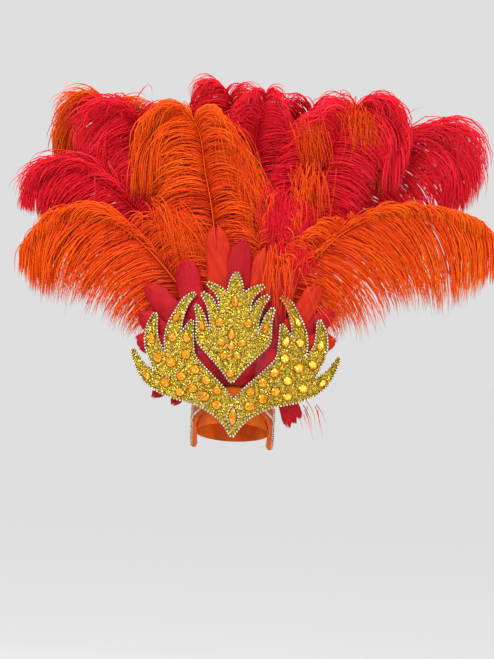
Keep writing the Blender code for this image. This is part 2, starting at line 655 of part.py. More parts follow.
def feather_solid(sheet, layer, name, colour_name):
    """Takes the sheet, joined to one cover, to its depth and gives it its thickness.

    Each place of the cover has one depth, so that the solid never passes through itself."""
    sheet = join_overlaps(sheet, layer)
    bm = bmesh.new()
    layers = bm.verts.layers.float.new("layer")
    verts = []
    for place, place_layer in zip(sheet["places"], sheet["layers"]):
        verts.append(bm.verts.new((place.x, 0, place.y)))
        verts[-1][layers] = place_layer
    for triangle in sheet["triangles"]:
        bm.faces.new([verts[index] for index in triangle])
    for a, b in sheet["bends"]:
        edge = bm.edges.get((verts[a], verts[b]))
        if edge:
            edge.seam = True
    bm.normal_update()
    bmesh.ops.dissolve_limit(bm, angle_limit=SHEET_STRAIGHT, use_dissolve_boundaries=False, verts=bm.verts,
                             edges=bm.edges, delimit={"SEAM"})
    bmesh.ops.delete(bm, geom=[vert for vert in bm.verts if not vert.link_faces], context="VERTS")
    for share in CURL_CUTS:
        cut_across(bm, (0, 0, share * FAN_RISE), (0, 0, 1))
    bmesh.ops.triangulate(bm, faces=bm.faces)
    part_touching_corners(bm)
    for vert in bm.verts:
        vert.co.y = fan_depth(vert.co.x, vert.co.z, vert[layers])
    thicken(bm, SHEET_THICK)
    return finish(bm, name, colour_name)


def make_plume(name, colour_name, layer, bare, droop, left_barbs, right_barbs, route):
    """A quill with locks of barbs down both sides and one at its tip, all one body."""
    points = [(across * FAN_REACH, up * FAN_RISE) for across, up in route]
    points[0] = (points[0][0], HOLDER_TOP + CLEARANCE)
    fine = evenly(through(points, 8), 60)
    bare_count = round(60 * bare)
    stations = evenly(fine[: bare_count + 1], BARE_STEPS)[:-1] + evenly(fine[bare_count:], LOCKS_A_SIDE)
    sheet = new_sheet()
    rails = []
    tangents = []
    for index, here in enumerate(stations):
        ahead = stations[min(index + 1, len(stations) - 1)] - stations[max(index - 1, 0)]
        tangent = ahead.normalized()
        tangents.append(tangent)
        across = Vector((-tangent.y, tangent.x)) * QUILL_WIDTH / 2
        if index == 0:
            across = Vector((-QUILL_WIDTH / 2, 0))
        rails.append((add_place(sheet, here + across, layer), add_place(sheet, here - across, layer)))
    for (left, right), (next_left, next_right) in zip(rails, rails[1:]):
        add_triangles(sheet, (left, right, next_right, next_left))
        sheet["bends"].append((left, next_left))
    for index in range(BARE_STEPS, len(stations) - 1):
        along = (index - BARE_STEPS + 0.5) / LOCKS_A_SIDE
        folded = max(0, (along - FOLD_FROM) / (1 - FOLD_FROM))
        pitch = (stations[index + 1] - stations[index]).length
        middle = (stations[index] + stations[index + 1]) / 2
        lock_layer = layer + ODD_LOCK_SHIFT * (index % 2)
        for side, lengths in ((1, left_barbs), (-1, right_barbs)):
            rail = 0 if side == 1 else 1
            tangent = (tangents[index] + tangents[index + 1]).normalized()
            line = barb_line(middle, tangent, side, barb_length(lengths, along), droop * (1 + FOLD * folded),
                             LOCK_STEPS)
            add_lock(sheet, rails[index][rail], rails[index + 1][rail], line, pitch, LOCK_WIDTHS, lock_layer)
    tip_length = BARB_UNIT * (left_barbs[2] + right_barbs[2]) / 2
    line = barb_line(stations[-1], tangents[-1], 0, tip_length, droop * (1 + FOLD), LOCK_STEPS)
    add_lock(sheet, *rails[-1], line, QUILL_WIDTH * 3, LOCK_WIDTHS, layer)
    return feather_solid(sheet, layer, name, colour_name)


def make_flats(name, colour_name, layer, width, root_ends, tips):
    """A tuft of broad flat feathers with round ends on one root strip."""
    ends = [Vector((across * HOLDER_HALF_WIDTH, up * HOLDER_TOP)) for across, up in root_ends]
    on_top = abs(ends[0].x + ends[1].x) < CLEARANCE
    outward = Vector((0, 1)) if on_top else Vector((ends[0].x, 0)).normalized()
    sheet = new_sheet()
    roots = []
    for index in range(len(tips) + 1):
        near = ends[0].lerp(ends[1], index / len(tips)) + outward * CLEARANCE
        far = near + outward * QUILL_WIDTH
        roots.append((add_place(sheet, near, layer), add_place(sheet, far, layer)))
    for index, (across, up) in enumerate(tips):
        add_triangles(sheet, (*roots[index], *reversed(roots[index + 1])))
        far_ends = [sheet["places"][roots[number][1]] for number in (index, index + 1)]
        start = (far_ends[0] + far_ends[1]) / 2
        tip = Vector((across * FAN_REACH, up * FAN_RISE))
        line = [start.lerp(tip, share) for share in FLAT_STATIONS]
        add_lock(sheet, roots[index][1], roots[index + 1][1], line, width, FLAT_WIDTHS,
                 layer + ODD_LOCK_SHIFT * (index % 2))
    return feather_solid(sheet, layer, name, colour_name)


def on_cap_side(lengthwise, down, side, stand_off):
    """A point on the side of the head, this far off the cap's outer wall."""
    wide = HEAD_HALF_WIDTH + CAP_WALL + GUARD_STAND_OFF + stand_off
    long = HEAD_HALF_LENGTH + CAP_WALL + GUARD_STAND_OFF + stand_off
    y = lengthwise * HEAD_HALF_LENGTH
    return Vector((side * wide * sqrt(1 - (y / long) ** 2), y, -down * GUARD_DROP))


def make_ear_guard(side, word):
    """A crescent of satin-covered board down the temple, and its two rows of beads."""
    bm = bmesh.new()
    grids = []
    for stand_off in (0, GUARD_WALL):
        grid = []
        for down, front, rear in GUARD_ROWS:
            grid.append([bm.verts.new(on_cap_side(front + (rear - front) * column / GUARD_COLUMNS, down, side,
                                                  stand_off)) for column in range(GUARD_COLUMNS + 1)])
        grids.append(grid)
    for grid in grids:
        for row, below in zip(grid, grid[1:]):
            for column in range(GUARD_COLUMNS):
                bm.faces.new((row[column], row[column + 1], below[column + 1], below[column]))
    for inner, outer in zip(border(grids[0]), border(grids[1])):
        bm.faces.new((inner[0], inner[1], outer[1], outer[0]))
    finish(bm, f"ear_guard_{word}", "orange satin")
    for name, route in TRIM_ROUTES:
        points = evenly(through(route, 8), TRIM_POINTS)
        stand_off = GUARD_WALL + CLEARANCE + BEAD_DIAMETER / 2
        tube(f"ear_trim_{name}_{word}", [on_cap_side(point.y, point.x, side, stand_off) for point in points])


def border(grid):
    """The edges round a grid of vertices, as pairs."""
    loop = grid[0] + [row[-1] for row in grid[1:]] + grid[-1][-2::-1] + [row[0] for row in grid[-2:0:-1]]
    return list(zip(loop, loop[1:] + loop[:1]))


def tube(name, points):
    """A string of beads as a tube, on a curve with filled caps."""
    data = bpy.data.curves.new(name, "CURVE")
    data.dimensions = "3D"
    data.bevel_depth = BEAD_DIAMETER / 2
    data.bevel_resolution = 2
    data.use_fill_caps = True
    spline = data.splines.new("POLY")
    spline.points.add(len(points) - 1)
    for spot, point in zip(spline.points, points):
        spot.co = (*point, 1)
    data.materials.append(material(name, "gold"))
    made = bpy.data.objects.new(name, data)
    bpy.context.scene.collection.objects.link(made)


def make_cap():
    """A satin cap, open below: a level wall that stands high in front, and a taut sloping top."""
    sections = (
        # share of the head's outline, height in front, height behind
        (1.00, -CAP_FRONT_DROP, -CAP_BACK_DROP),
        (1.00, -CAP_FRONT_DROP * 0.2, -CAP_BACK_DROP * 0.55),
        (1.00, CAP_FRONT_RISE * 0.85, -CAP_BACK_DROP * 0.30),
        (0.93, CAP_FRONT_RISE, -CAP_BACK_DROP * 0.20),
        (0.55, CAP_FRONT_RISE * 0.45, -CAP_BACK_DROP * 0.05),
    )
    bm = bmesh.new()
    shells = []
    for wall in (0, CAP_WALL):
        rings = []
        for number, (share, front, back) in enumerate(sections):
            lift = wall if number > 2 else 0
            ring = []
            for index in range(CAP_SIDES):
                angle = 2 * pi * index / CAP_SIDES
                x = (HEAD_HALF_WIDTH + wall) * share * sin(angle)
                y = -(HEAD_HALF_LENGTH + wall) * share * cos(angle)
                z = (front + back) / 2 + (front - back) / 2 * cos(angle) + lift
                ring.append(bm.verts.new((x, y, z)))
            rings.append(ring)
        top = bm.verts.new((0, 0, wall))
        for index in range(CAP_SIDES):
            after = (index + 1) % CAP_SIDES
            for lower, upper in zip(rings, rings[1:]):
                bm.faces.new((lower[index], lower[after], upper[after], upper[index]))
            bm.faces.new((rings[-1][index], rings[-1][after], top))
        shells.append(rings[0])
    inner, outer = shells
    for index in range(CAP_SIDES):
        after = (index + 1) % CAP_SIDES
        bm.faces.new((inner[index], inner[after], outer[after], outer[index]))
    finish(bm, "head_cap", "orange satin", 40)


clear_scene()
make_cap()
for side, word in ((-1, "left"), (1, "right")):
    make_ear_guard(side, word)
make_lower_plate()
make_medallion()
make_backing()
for row in PLUMES:
    make_plume(*row)
for row in FLATS:
    make_flats(*row)
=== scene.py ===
from math import atan2, cos, pi, radians, sin, sqrt, tan

import bmesh
import bpy
import numpy as np
from mathutils import Matrix, Vector


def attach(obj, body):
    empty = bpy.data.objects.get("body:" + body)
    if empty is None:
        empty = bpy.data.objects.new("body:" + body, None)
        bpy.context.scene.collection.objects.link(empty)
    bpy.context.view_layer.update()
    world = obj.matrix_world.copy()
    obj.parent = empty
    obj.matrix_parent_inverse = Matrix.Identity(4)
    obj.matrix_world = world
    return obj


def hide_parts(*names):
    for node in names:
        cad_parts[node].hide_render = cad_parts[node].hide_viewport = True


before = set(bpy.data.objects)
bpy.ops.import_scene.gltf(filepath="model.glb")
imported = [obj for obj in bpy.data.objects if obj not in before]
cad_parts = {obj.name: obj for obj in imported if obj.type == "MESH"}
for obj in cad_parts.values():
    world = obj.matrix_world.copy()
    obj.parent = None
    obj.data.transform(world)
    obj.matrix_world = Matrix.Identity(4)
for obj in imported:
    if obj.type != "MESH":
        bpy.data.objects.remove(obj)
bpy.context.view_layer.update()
print("frame loaded,", len(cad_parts), "nodes")

# Sizes that several pieces share, in metres. They are the frame's own.
head = {"halfWidth": 0.079, "halfLength": 0.100, "capWall": 0.0025, "frontRise": 0.030,
        "guardGap": 0.0009, "guardWall": 0.003, "guardDrop": 0.103, "clearance": 0.0003}
crown = {"thick": 0.003, "rimWidth": 0.0034, "rimHeight": 0.0024, "tipWidth": 0.0074,
         "sweepRadius": 0.42, "sweepLimit": 0.12, "lean": radians(6),
         "wingSpan": 0.217, "wingHeight": 0.294, "vDrop": 0.0733,
         "medalSpan": 0.081, "medalHeight": 0.228, "medalFoot": 0.039, "medalShift": -0.006,
         "medalLift": 0.009}
fan = {"reach": 0.545, "rise": 0.690, "gap": 0.0115, "centreZ": 0.100, "pitchInside": 0.0072,
       "pitchOutside": 0.0160, "spreadOver": 0.300, "curlFrom": 0.360, "curlForward": 0.110,
       "barbUnit": 0.100, "barbAngle": 52, "holderTop": 0.120, "holderHalf": 0.085}

# name, kind, across, up: the right half of each plate, as shares of its span and height
wingOutline = (
    ("notch", 0.000, 0.264), ("side", 0.112, 0.354), ("side", 0.276, 0.469), ("side", 0.387, 0.562),
    ("side", 0.409, 0.666), ("tip", 0.433, 0.805), ("notch", 0.536, 0.716), ("side", 0.523, 0.811),
    ("side", 0.478, 0.915), ("tip", 0.419, 1.000), ("side", 0.523, 0.964), ("side", 0.600, 0.873),
    ("side", 0.667, 0.773), ("side", 0.692, 0.670), ("notch", 0.679, 0.572), ("side", 0.758, 0.680),
    ("tip", 0.791, 0.846), ("side", 0.864, 0.770), ("side", 0.887, 0.671), ("side", 0.863, 0.573),
    ("notch", 0.776, 0.429), ("side", 0.896, 0.502), ("tip", 1.000, 0.588), ("side", 0.991, 0.510),
    ("side", 0.938, 0.426), ("side", 0.849, 0.342), ("side", 0.731, 0.289), ("side", 0.603, 0.252),
    ("side", 0.433, 0.224), ("side", 0.310, 0.197), ("side", 0.235, 0.165), ("side", 0.165, 0.133),
    ("side", 0.080, 0.070), ("tip", 0.000, 0.000),
)
medalOutline = (
    ("tip", 0.000, 1.000), ("side", 0.120, 0.950), ("side", 0.179, 0.890), ("notch", 0.215, 0.816),
    ("side", 0.407, 0.868), ("tip", 0.716, 0.890), ("side", 0.543, 0.811), ("side", 0.430, 0.737),
    ("notch", 0.407, 0.658), ("side", 0.600, 0.763), ("tip", 0.858, 0.800), ("side", 0.753, 0.709),
    ("side", 0.655, 0.605), ("side", 0.623, 0.509), ("notch", 0.617, 0.443), ("side", 0.702, 0.531),
    ("side", 0.805, 0.623), ("tip", 1.000, 0.690), ("side", 0.975, 0.575), ("side", 0.969, 0.463),
    ("side", 0.951, 0.373), ("side", 0.802, 0.301), ("side", 0.562, 0.213), ("side", 0.315, 0.123),
    ("tip", 0.000, 0.000),
)


# Curves and places
def through(points, steps):
    points = [Vector(point) for point in points]
    ends = [2 * points[0] - points[1], *points, 2 * points[-1] - points[-2]]
    curve = []
    for a, b, c, d in zip(ends, ends[1:], ends[2:], ends[3:]):
        for step in range(steps):
            t = step / steps
            curve.append(0.5 * (2 * b + (c - a) * t + (2 * a - 5 * b + 4 * c - d) * t**2
                                + (3 * b - a - 3 * c + d) * t**3))
    return curve + [points[-1]]


def evenly(curve, count, closed=False):
    curve = np.array([tuple(point) for point in curve])
    if closed:
        curve = np.vstack((curve, curve[:1]))
    run = np.concatenate(([0], np.cumsum(np.linalg.norm(np.diff(curve, axis=0), axis=1))))
    wanted = np.linspace(0, run[-1], count + 1)
    spots = np.stack([np.interp(wanted, run, curve[:, axis]) for axis in range(curve.shape[1])], 1)
    return (spots[:-1] if closed else spots), run[-1]


def atPitch(curve, pitch, closed=False):
    return evenly(curve, round(evenly(curve, 1, closed)[1] / pitch), closed)[0]


def crownDepth(x, z):
    sweep = crown["sweepLimit"] * (1 - np.exp(-x**2 / (2 * crown["sweepRadius"] * crown["sweepLimit"])))
    lean = np.maximum(0, z - head["frontRise"]) * tan(crown["lean"])
    return sweep + lean - (head["halfLength"] + head["capWall"] + head["clearance"] + crown["thick"])


def fanDepth(x, z, layer):
    reach = np.hypot(x, z - fan["centreZ"])
    spread = np.minimum(1, reach / fan["spreadOver"])
    pitch = fan["pitchInside"] + (fan["pitchOutside"] - fan["pitchInside"]) * spread
    curl = np.maximum(0, (reach - fan["curlFrom"]) / (fan["rise"] - fan["centreZ"] - fan["curlFrom"]))
    return crownDepth(x, z) + fan["gap"] + layer * pitch - fan["curlForward"] * curl**2


def plateOutline(rows, span, height, foot, shift=0):
    places = [Vector((across * span, up * height + foot)) for kind, across, up in rows]
    runs = [[]]
    for index, (kind, across, up) in enumerate(rows):
        here = places[index]
        if kind == "side":
            runs[-1].append(here)
            continue
        before = places[index - 1] if index else Vector((-places[1].x, places[1].y))
        after = places[index + 1] if index + 1 < len(rows) else Vector((-before.x, before.y))
        width = crown["tipWidth"] / 2 if kind == "tip" else 0
        side = ((after - here).normalized() - (before - here).normalized()).normalized() * width
        runs[-1].append(here - side)
        runs.append([here + side])
    half = []
    for run in (run for run in runs if len(run) > 1):
        for point in through(run, 4):
            if not half or (point - half[-1]).length > head["clearance"]:
                half.append(point)
    mirrored = [Vector((-point.x, point.y)) for point in reversed(half) if point.x > head["clearance"]]
    return [Vector((point.x + shift, point.y)) for point in half + mirrored]


def insetLoop(outline, width):
    # the same outline, this far inside
    bm = bmesh.new()
    field = bm.faces.new([bm.verts.new((point.x, 0, point.y)) for point in outline])
    bmesh.ops.inset_region(bm, faces=[field], thickness=width, use_even_offset=True, use_boundary=True)
    loop = [Vector((vert.co.x, vert.co.z)) for vert in field.verts]
    bm.free()
    return loop


def inside(points, outline):
    # even-odd test of many points at once
    outline = np.array([tuple(point) for point in outline])
    found = np.zeros(len(points), bool)
    for (ax, az), (bx, bz) in zip(outline, np.roll(outline, -1, axis=0)):
        crosses = (az > points[:, 1]) != (bz > points[:, 1])
        rise = np.where(abs(bz - az) < 1e-9, 1e-9, bz - az)
        found ^= crosses & (points[:, 0] < (bx - ax) * (points[:, 1] - az) / rise + ax)
    return found


# Materials
def newMaterial(name, metallic=0.0, roughness=0.5, **sockets):
    made = bpy.data.materials.new(name)
    made.use_nodes = True
    shader = made.node_tree.nodes["Principled BSDF"]
    shader.inputs["Metallic"].default_value = metallic
    shader.inputs["Roughness"].default_value = roughness
    for socket, value in sockets.items():
        shader.inputs[socket.replace("_", " ")].default_value = value
    return made, shader


def addNode(made, kind, **settings):
    node = made.node_tree.nodes.new("ShaderNode" + kind)
    for key, value in settings.items():
        if key in node.inputs:
            node.inputs[key].default_value = value
        else:
            setattr(node, key, value)
    return node


def join(made, output, socket):
    made.node_tree.links.new(output, socket)


def addPattern(made, kind, **settings):
    # a texture in the piece's own coordinates
    node = addNode(made, kind, **settings)
    join(made, addNode(made, "TexCoord").outputs["Object"], node.inputs["Vector"])
    return node


def addRamp(made, source, stops):
    ramp = addNode(made, "ValToRGB")
    while len(ramp.color_ramp.elements) < len(stops):
        ramp.color_ramp.elements.new(0.5)
    for element, (place, colour) in zip(ramp.color_ramp.elements, stops):
        element.position = place
        element.color = (*colour, 1)
    join(made, source, ramp.inputs["Fac"])
    return ramp.outputs["Color"]


def addBump(made, shader, height, distance, strength=1.0):
    bump = addNode(made, "Bump", Distance=distance, Strength=strength)
    join(made, height, bump.inputs["Height"])
    join(made, bump.outputs["Normal"], shader.inputs["Normal"])
    return bump


def featherMaterial(name, stops):
    # stops run from the shaded root of a barb to its lit tip
    made, shader = newMaterial(name, roughness=0.6, Specular_IOR_Level=0.18, Sheen_Weight=0.10,
                               Sheen_Roughness=0.5, Sheen_Tint=(*stops[-1][1], 1))
    tone = addNode(made, "Attribute", attribute_name="tone")
    patch = addPattern(made, "TexNoise", Scale=9.0, Detail=2.0)
    shade = addNode(made, "Math", operation="MULTIPLY_ADD")
    shade.inputs[1].default_value = 0.30
    join(made, patch.outputs["Fac"], shade.inputs[0])
    join(made, tone.outputs["Fac"], shade.inputs[2])
    join(made, addRamp(made, shade.outputs["Value"], stops), shader.inputs["Base Color"])
    fine = addPattern(made, "TexNoise", Scale=900.0, Detail=2.0)
    addBump(made, shader, fine.outputs["Fac"], 0.0004, 0.4)
    return made


def satinMaterial(name, colour, foldShade, roughness, specular):
    made, shader = newMaterial(name, roughness=roughness, Sheen_Weight=0.12, Sheen_Roughness=0.3,
                               Sheen_Tint=(*colour, 1), Specular_IOR_Level=specular)
    folds = addPattern(made, "TexNoise", Scale=22.0, Detail=3.0, Distortion=0.6)
    # the hollows of the folds are painted darker, as painted shade
    colours = addRamp(made, folds.outputs["Fac"], ((0.30, foldShade), (0.62, colour)))
    join(made, colours, shader.inputs["Base Color"])
    weave = addPattern(made, "TexWave", Scale=420.0, Distortion=1.0, bands_direction="DIAGONAL")
    mixed = addNode(made, "Math", operation="MULTIPLY_ADD")
    mixed.inputs[1].default_value = 0.06
    join(made, weave.outputs["Fac"], mixed.inputs[0])
    join(made, folds.outputs["Fac"], mixed.inputs[2])
    addBump(made, shader, mixed.outputs["Value"], 0.006, 0.7)
    return made


def glitterMaterial(name, grainsPerMetre, tilt):
    # each grain has its own tilt, and a colour from painted shade through gold and amber tones to a painted
    # glint
    made, shader = newMaterial(name, metallic=0.75, roughness=0.25)
    grain = addPattern(made, "TexVoronoi", Scale=grainsPerMetre)
    one = addNode(made, "SeparateColor")
    join(made, grain.outputs["Color"], one.inputs["Color"])
    join(made, addRamp(made, one.outputs["Red"], goldShadeToGlintStops), shader.inputs["Base Color"])
    centred = addNode(made, "VectorMath", operation="SUBTRACT")
    centred.inputs[1].default_value = (0.5, 0.5, 0.5)
    join(made, grain.outputs["Color"], centred.inputs[0])
    tilted = addNode(made, "VectorMath", operation="SCALE", Scale=tilt)
    join(made, centred.outputs["Vector"], tilted.inputs[0])
    geometry = addNode(made, "NewGeometry")
    facing = addNode(made, "VectorMath", operation="ADD")
    join(made, geometry.outputs["Normal"], facing.inputs[0])
    join(made, tilted.outputs["Vector"], facing.inputs[1])
    unit = addNode(made, "VectorMath", operation="NORMALIZE")
    join(made, facing.outputs["Vector"], unit.inputs[0])
    join(made, unit.outputs["Vector"], shader.inputs["Normal"])
    return made


def toneMaterial(name, stops, **settings):
    # colour picked by the attribute that each small piece of the mesh carries
    made, shader = newMaterial(name, **settings)
    tone = addNode(made, "Attribute", attribute_name="tone")
    join(made, addRamp(made, tone.outputs["Fac"], stops), shader.inputs["Base Color"])
    return made, shader


# gold grains and chips: the darkest stop is painted shade, the near-white last stop a painted glint, the
# stops between gold and amber tones
goldShadeToGlintStops = ((0.00, (0.05, 0.026, 0.001)), (0.22, (0.20, 0.115, 0.004)), (0.50, (0.44, 0.300, 0.012)),
             (0.80, (0.76, 0.570, 0.040)), (0.92, (0.62, 0.260, 0.010)), (1.00, (1.00, 0.960, 0.60)))
# amber stones: the low end is the deep rim, partly foil edge and partly painted shade; the near-white top end
# is a painted glint
amberShadeToGlintStops = ((0.00, (0.20, 0.020, 0.001)), (0.28, (0.54, 0.110, 0.001)), (0.55, (0.84, 0.310, 0.001)),
              (0.85, (1.00, 0.560, 0.006)), (1.00, (1.00, 0.900, 0.30)))
# feather stops: the low end is painted shade for the roots, the high end painted light for the tips
orangeStops = ((0.05, (0.46, 0.010, 0.001)), (0.40, (0.82, 0.052, 0.001)), (0.75, (1.00, 0.120, 0.001)),
               (1.00, (1.00, 0.210, 0.004)))
redStops = ((0.05, (0.34, 0.001, 0.006)), (0.40, (0.76, 0.003, 0.016)), (0.75, (0.98, 0.014, 0.034)),
            (1.00, (1.00, 0.050, 0.085)))

materials = {
    "orangeFeather": featherMaterial("dyed feather orange", orangeStops),
    "redFeather": featherMaterial("dyed feather red", redStops),
    "orangeSatin": satinMaterial("orange satin", (0.76, 0.135, 0.003), (0.52, 0.066, 0.002), 0.48, 0.10),
    "redSatin": satinMaterial("glossy red satin", (0.52, 0.004, 0.012), (0.16, 0.001, 0.004), 0.26, 0.30),
    "glitter": glitterMaterial("gold glitter board", 620.0, 1.1),
}
# the chips take their colours at random from the same stops, with painted shade and painted glints among them
materials["chip"], chipShader = toneMaterial("gold sequin chips", goldShadeToGlintStops, metallic=0.85, roughness=0.16)
materials["amber"], amberShader = toneMaterial("amber stone", amberShadeToGlintStops, metallic=0.6, roughness=0.12,
                                               Coat_Weight=0.18, Coat_Roughness=0.03)
materials["bead"], beadShader = newMaterial("silvery bead", metallic=0.75, roughness=0.20,
                                            Coat_Weight=0.4, Coat_Roughness=0.08)
materials["felt"], feltShader = newMaterial("black felt", roughness=0.95, Sheen_Weight=0.4)


def finishPlainMaterials():
    beads = materials["bead"]
    tone = addNode(beads, "Attribute", attribute_name="tone")
    pearls = addRamp(beads, tone.outputs["Fac"], ((0.0, (0.42, 0.34, 0.18)), (1.0, (0.78, 0.74, 0.62))))
    join(beads, pearls, beadShader.inputs["Base Color"])
    felt = materials["felt"]
    fluff = addPattern(felt, "TexNoise", Scale=700.0, Detail=4.0)
    greys = addRamp(felt, fluff.outputs["Fac"], ((0.3, (0.012, 0.011, 0.011)), (0.8, (0.05, 0.045, 0.045))))
    join(felt, greys, feltShader.inputs["Base Color"])
    addBump(felt, feltShader, fluff.outputs["Fac"], 0.0008)


finishPlainMaterials()
print("materials made")


# Pieces
def place(made, material, slot, *nodes):
    made.data.materials.clear()
    made.data.materials.append(materials[material])
    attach(made, "root")
    if nodes:
        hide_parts(*nodes)
    return made


def fromBmesh(bm, name, smoothAngle=None):
    mesh = bpy.data.meshes.new(name)
    bm.to_mesh(mesh)
    bm.free()
    if smoothAngle is not None:
        mesh.shade_smooth()
        mesh.set_sharp_from_angle(angle=radians(smoothAngle))
    made = bpy.data.objects.new(name, mesh)
    bpy.context.scene.collection.objects.link(made)
    return made


def fromArrays(name, points, corners, sizes, tone, smooth=False):
    # one joined mesh: corners lists each face's points in turn, sizes how many each face has
    mesh = bpy.data.meshes.new(name)
    mesh.vertices.add(len(points))
    mesh.vertices.foreach_set("co", points.astype(np.float32).ravel())
    mesh.loops.add(len(corners))
    mesh.loops.foreach_set("vertex_index", corners.astype(np.int32))
    mesh.polygons.add(len(sizes))
    starts = np.concatenate(([0], np.cumsum(sizes)[:-1]))
    mesh.polygons.foreach_set("loop_start", starts.astype(np.int32))
    mesh.polygons.foreach_set("use_smooth", np.full(len(sizes), smooth))
    shade = mesh.attributes.new("tone", "FLOAT", "POINT")
    shade.data.foreach_set("value", tone.astype(np.float32))
    mesh.update(calc_edges=True)
    mesh.validate()
    made = bpy.data.objects.new(name, mesh)
    bpy.context.scene.collection.objects.link(made)
    return made


def templateArrays(bm):
    bm.verts.index_update()
    points = np.array([tuple(vert.co) for vert in bm.verts])
    faces = [[vert.index for vert in face.verts] for face in bm.faces]
    bm.free()
    return points, np.concatenate(faces), np.array([len(face) for face in faces])


def repeated(name, template, matrices, offsets, tone, smooth):
    # the template once for each 3x3 matrix and offset
    points, corners, sizes = template
    count = len(offsets)
    placed = np.einsum("nij,kj->nki", matrices, points) + offsets[:, None, :]
    shifted = corners[None, :] + (np.arange(count) * len(points))[:, None]
    return fromArrays(name, placed.reshape(-1, 3), shifted.ravel(), np.tile(sizes, count),
                      np.repeat(tone, len(points)), smooth)


def strandFaces(count, steps):
    # faces of closed three-sided strands that end in a point
    ring = np.arange(3)
    after = (ring + 1) % 3
    quads = []
    for step in range(steps - 1):
        low = step * 3
        quads.append(np.stack((low + ring, low + 3 + ring, low + 3 + after, low + after), 1))
    last = (steps - 1) * 3
    tips = np.stack((last + ring, np.full(3, last + 3), last + after), 1)
    corners = np.concatenate([*(quad.ravel() for quad in quads), tips.ravel(), np.array([0, 1, 2])])
    sizes = np.concatenate([np.full(3 * (steps - 1), 4), np.full(3, 3), [3]])
    each = steps * 3 + 1
    corners = corners[None, :] + (np.arange(count) * each)[:, None]
    return corners.ravel(), np.tile(sizes, count)


def strandPoints(paths, widths, ridges):
    # each station has two edge points and a ridge in front of them
    ahead = np.diff(paths, axis=1)
    ahead = np.concatenate((ahead, ahead[:, -1:]), axis=1)
    across = np.stack((-ahead[..., 2], np.zeros(ahead.shape[:2]), ahead[..., 0]), -1)
    across /= np.maximum(np.linalg.norm(across, axis=-1, keepdims=True), 1e-9)
    half = across * widths[..., None] / 2
    front = np.zeros_like(paths)
    front[..., 1] = -ridges
    rings = np.stack((paths - half, paths + front, paths + half), 2)[:, :-1]
    count, steps = rings.shape[:2]
    return np.concatenate((rings.reshape(count, steps * 3, 3), paths[:, -1:]), axis=1)


def strandMesh(name, groups):
    # groups of (paths, widths, ridges, tones) with any number of stations each
    points, corners, sizes, tones = [], [], [], []
    total = 0
    for paths, widths, ridges, tone in groups:
        made = strandPoints(paths, widths, ridges)
        count, stations = paths.shape[:2]
        faces, counts = strandFaces(count, stations - 1)
        points.append(made.reshape(-1, 3))
        corners.append(faces + total)
        sizes.append(counts)
        tones.append(np.concatenate((np.repeat(tone[:, :-1], 3, axis=1), tone[:, -1:]), axis=1).ravel())
        total += count * made.shape[1]
    return fromArrays(name, np.concatenate(points), np.concatenate(corners), np.concatenate(sizes),
                      np.concatenate(tones), smooth=True)


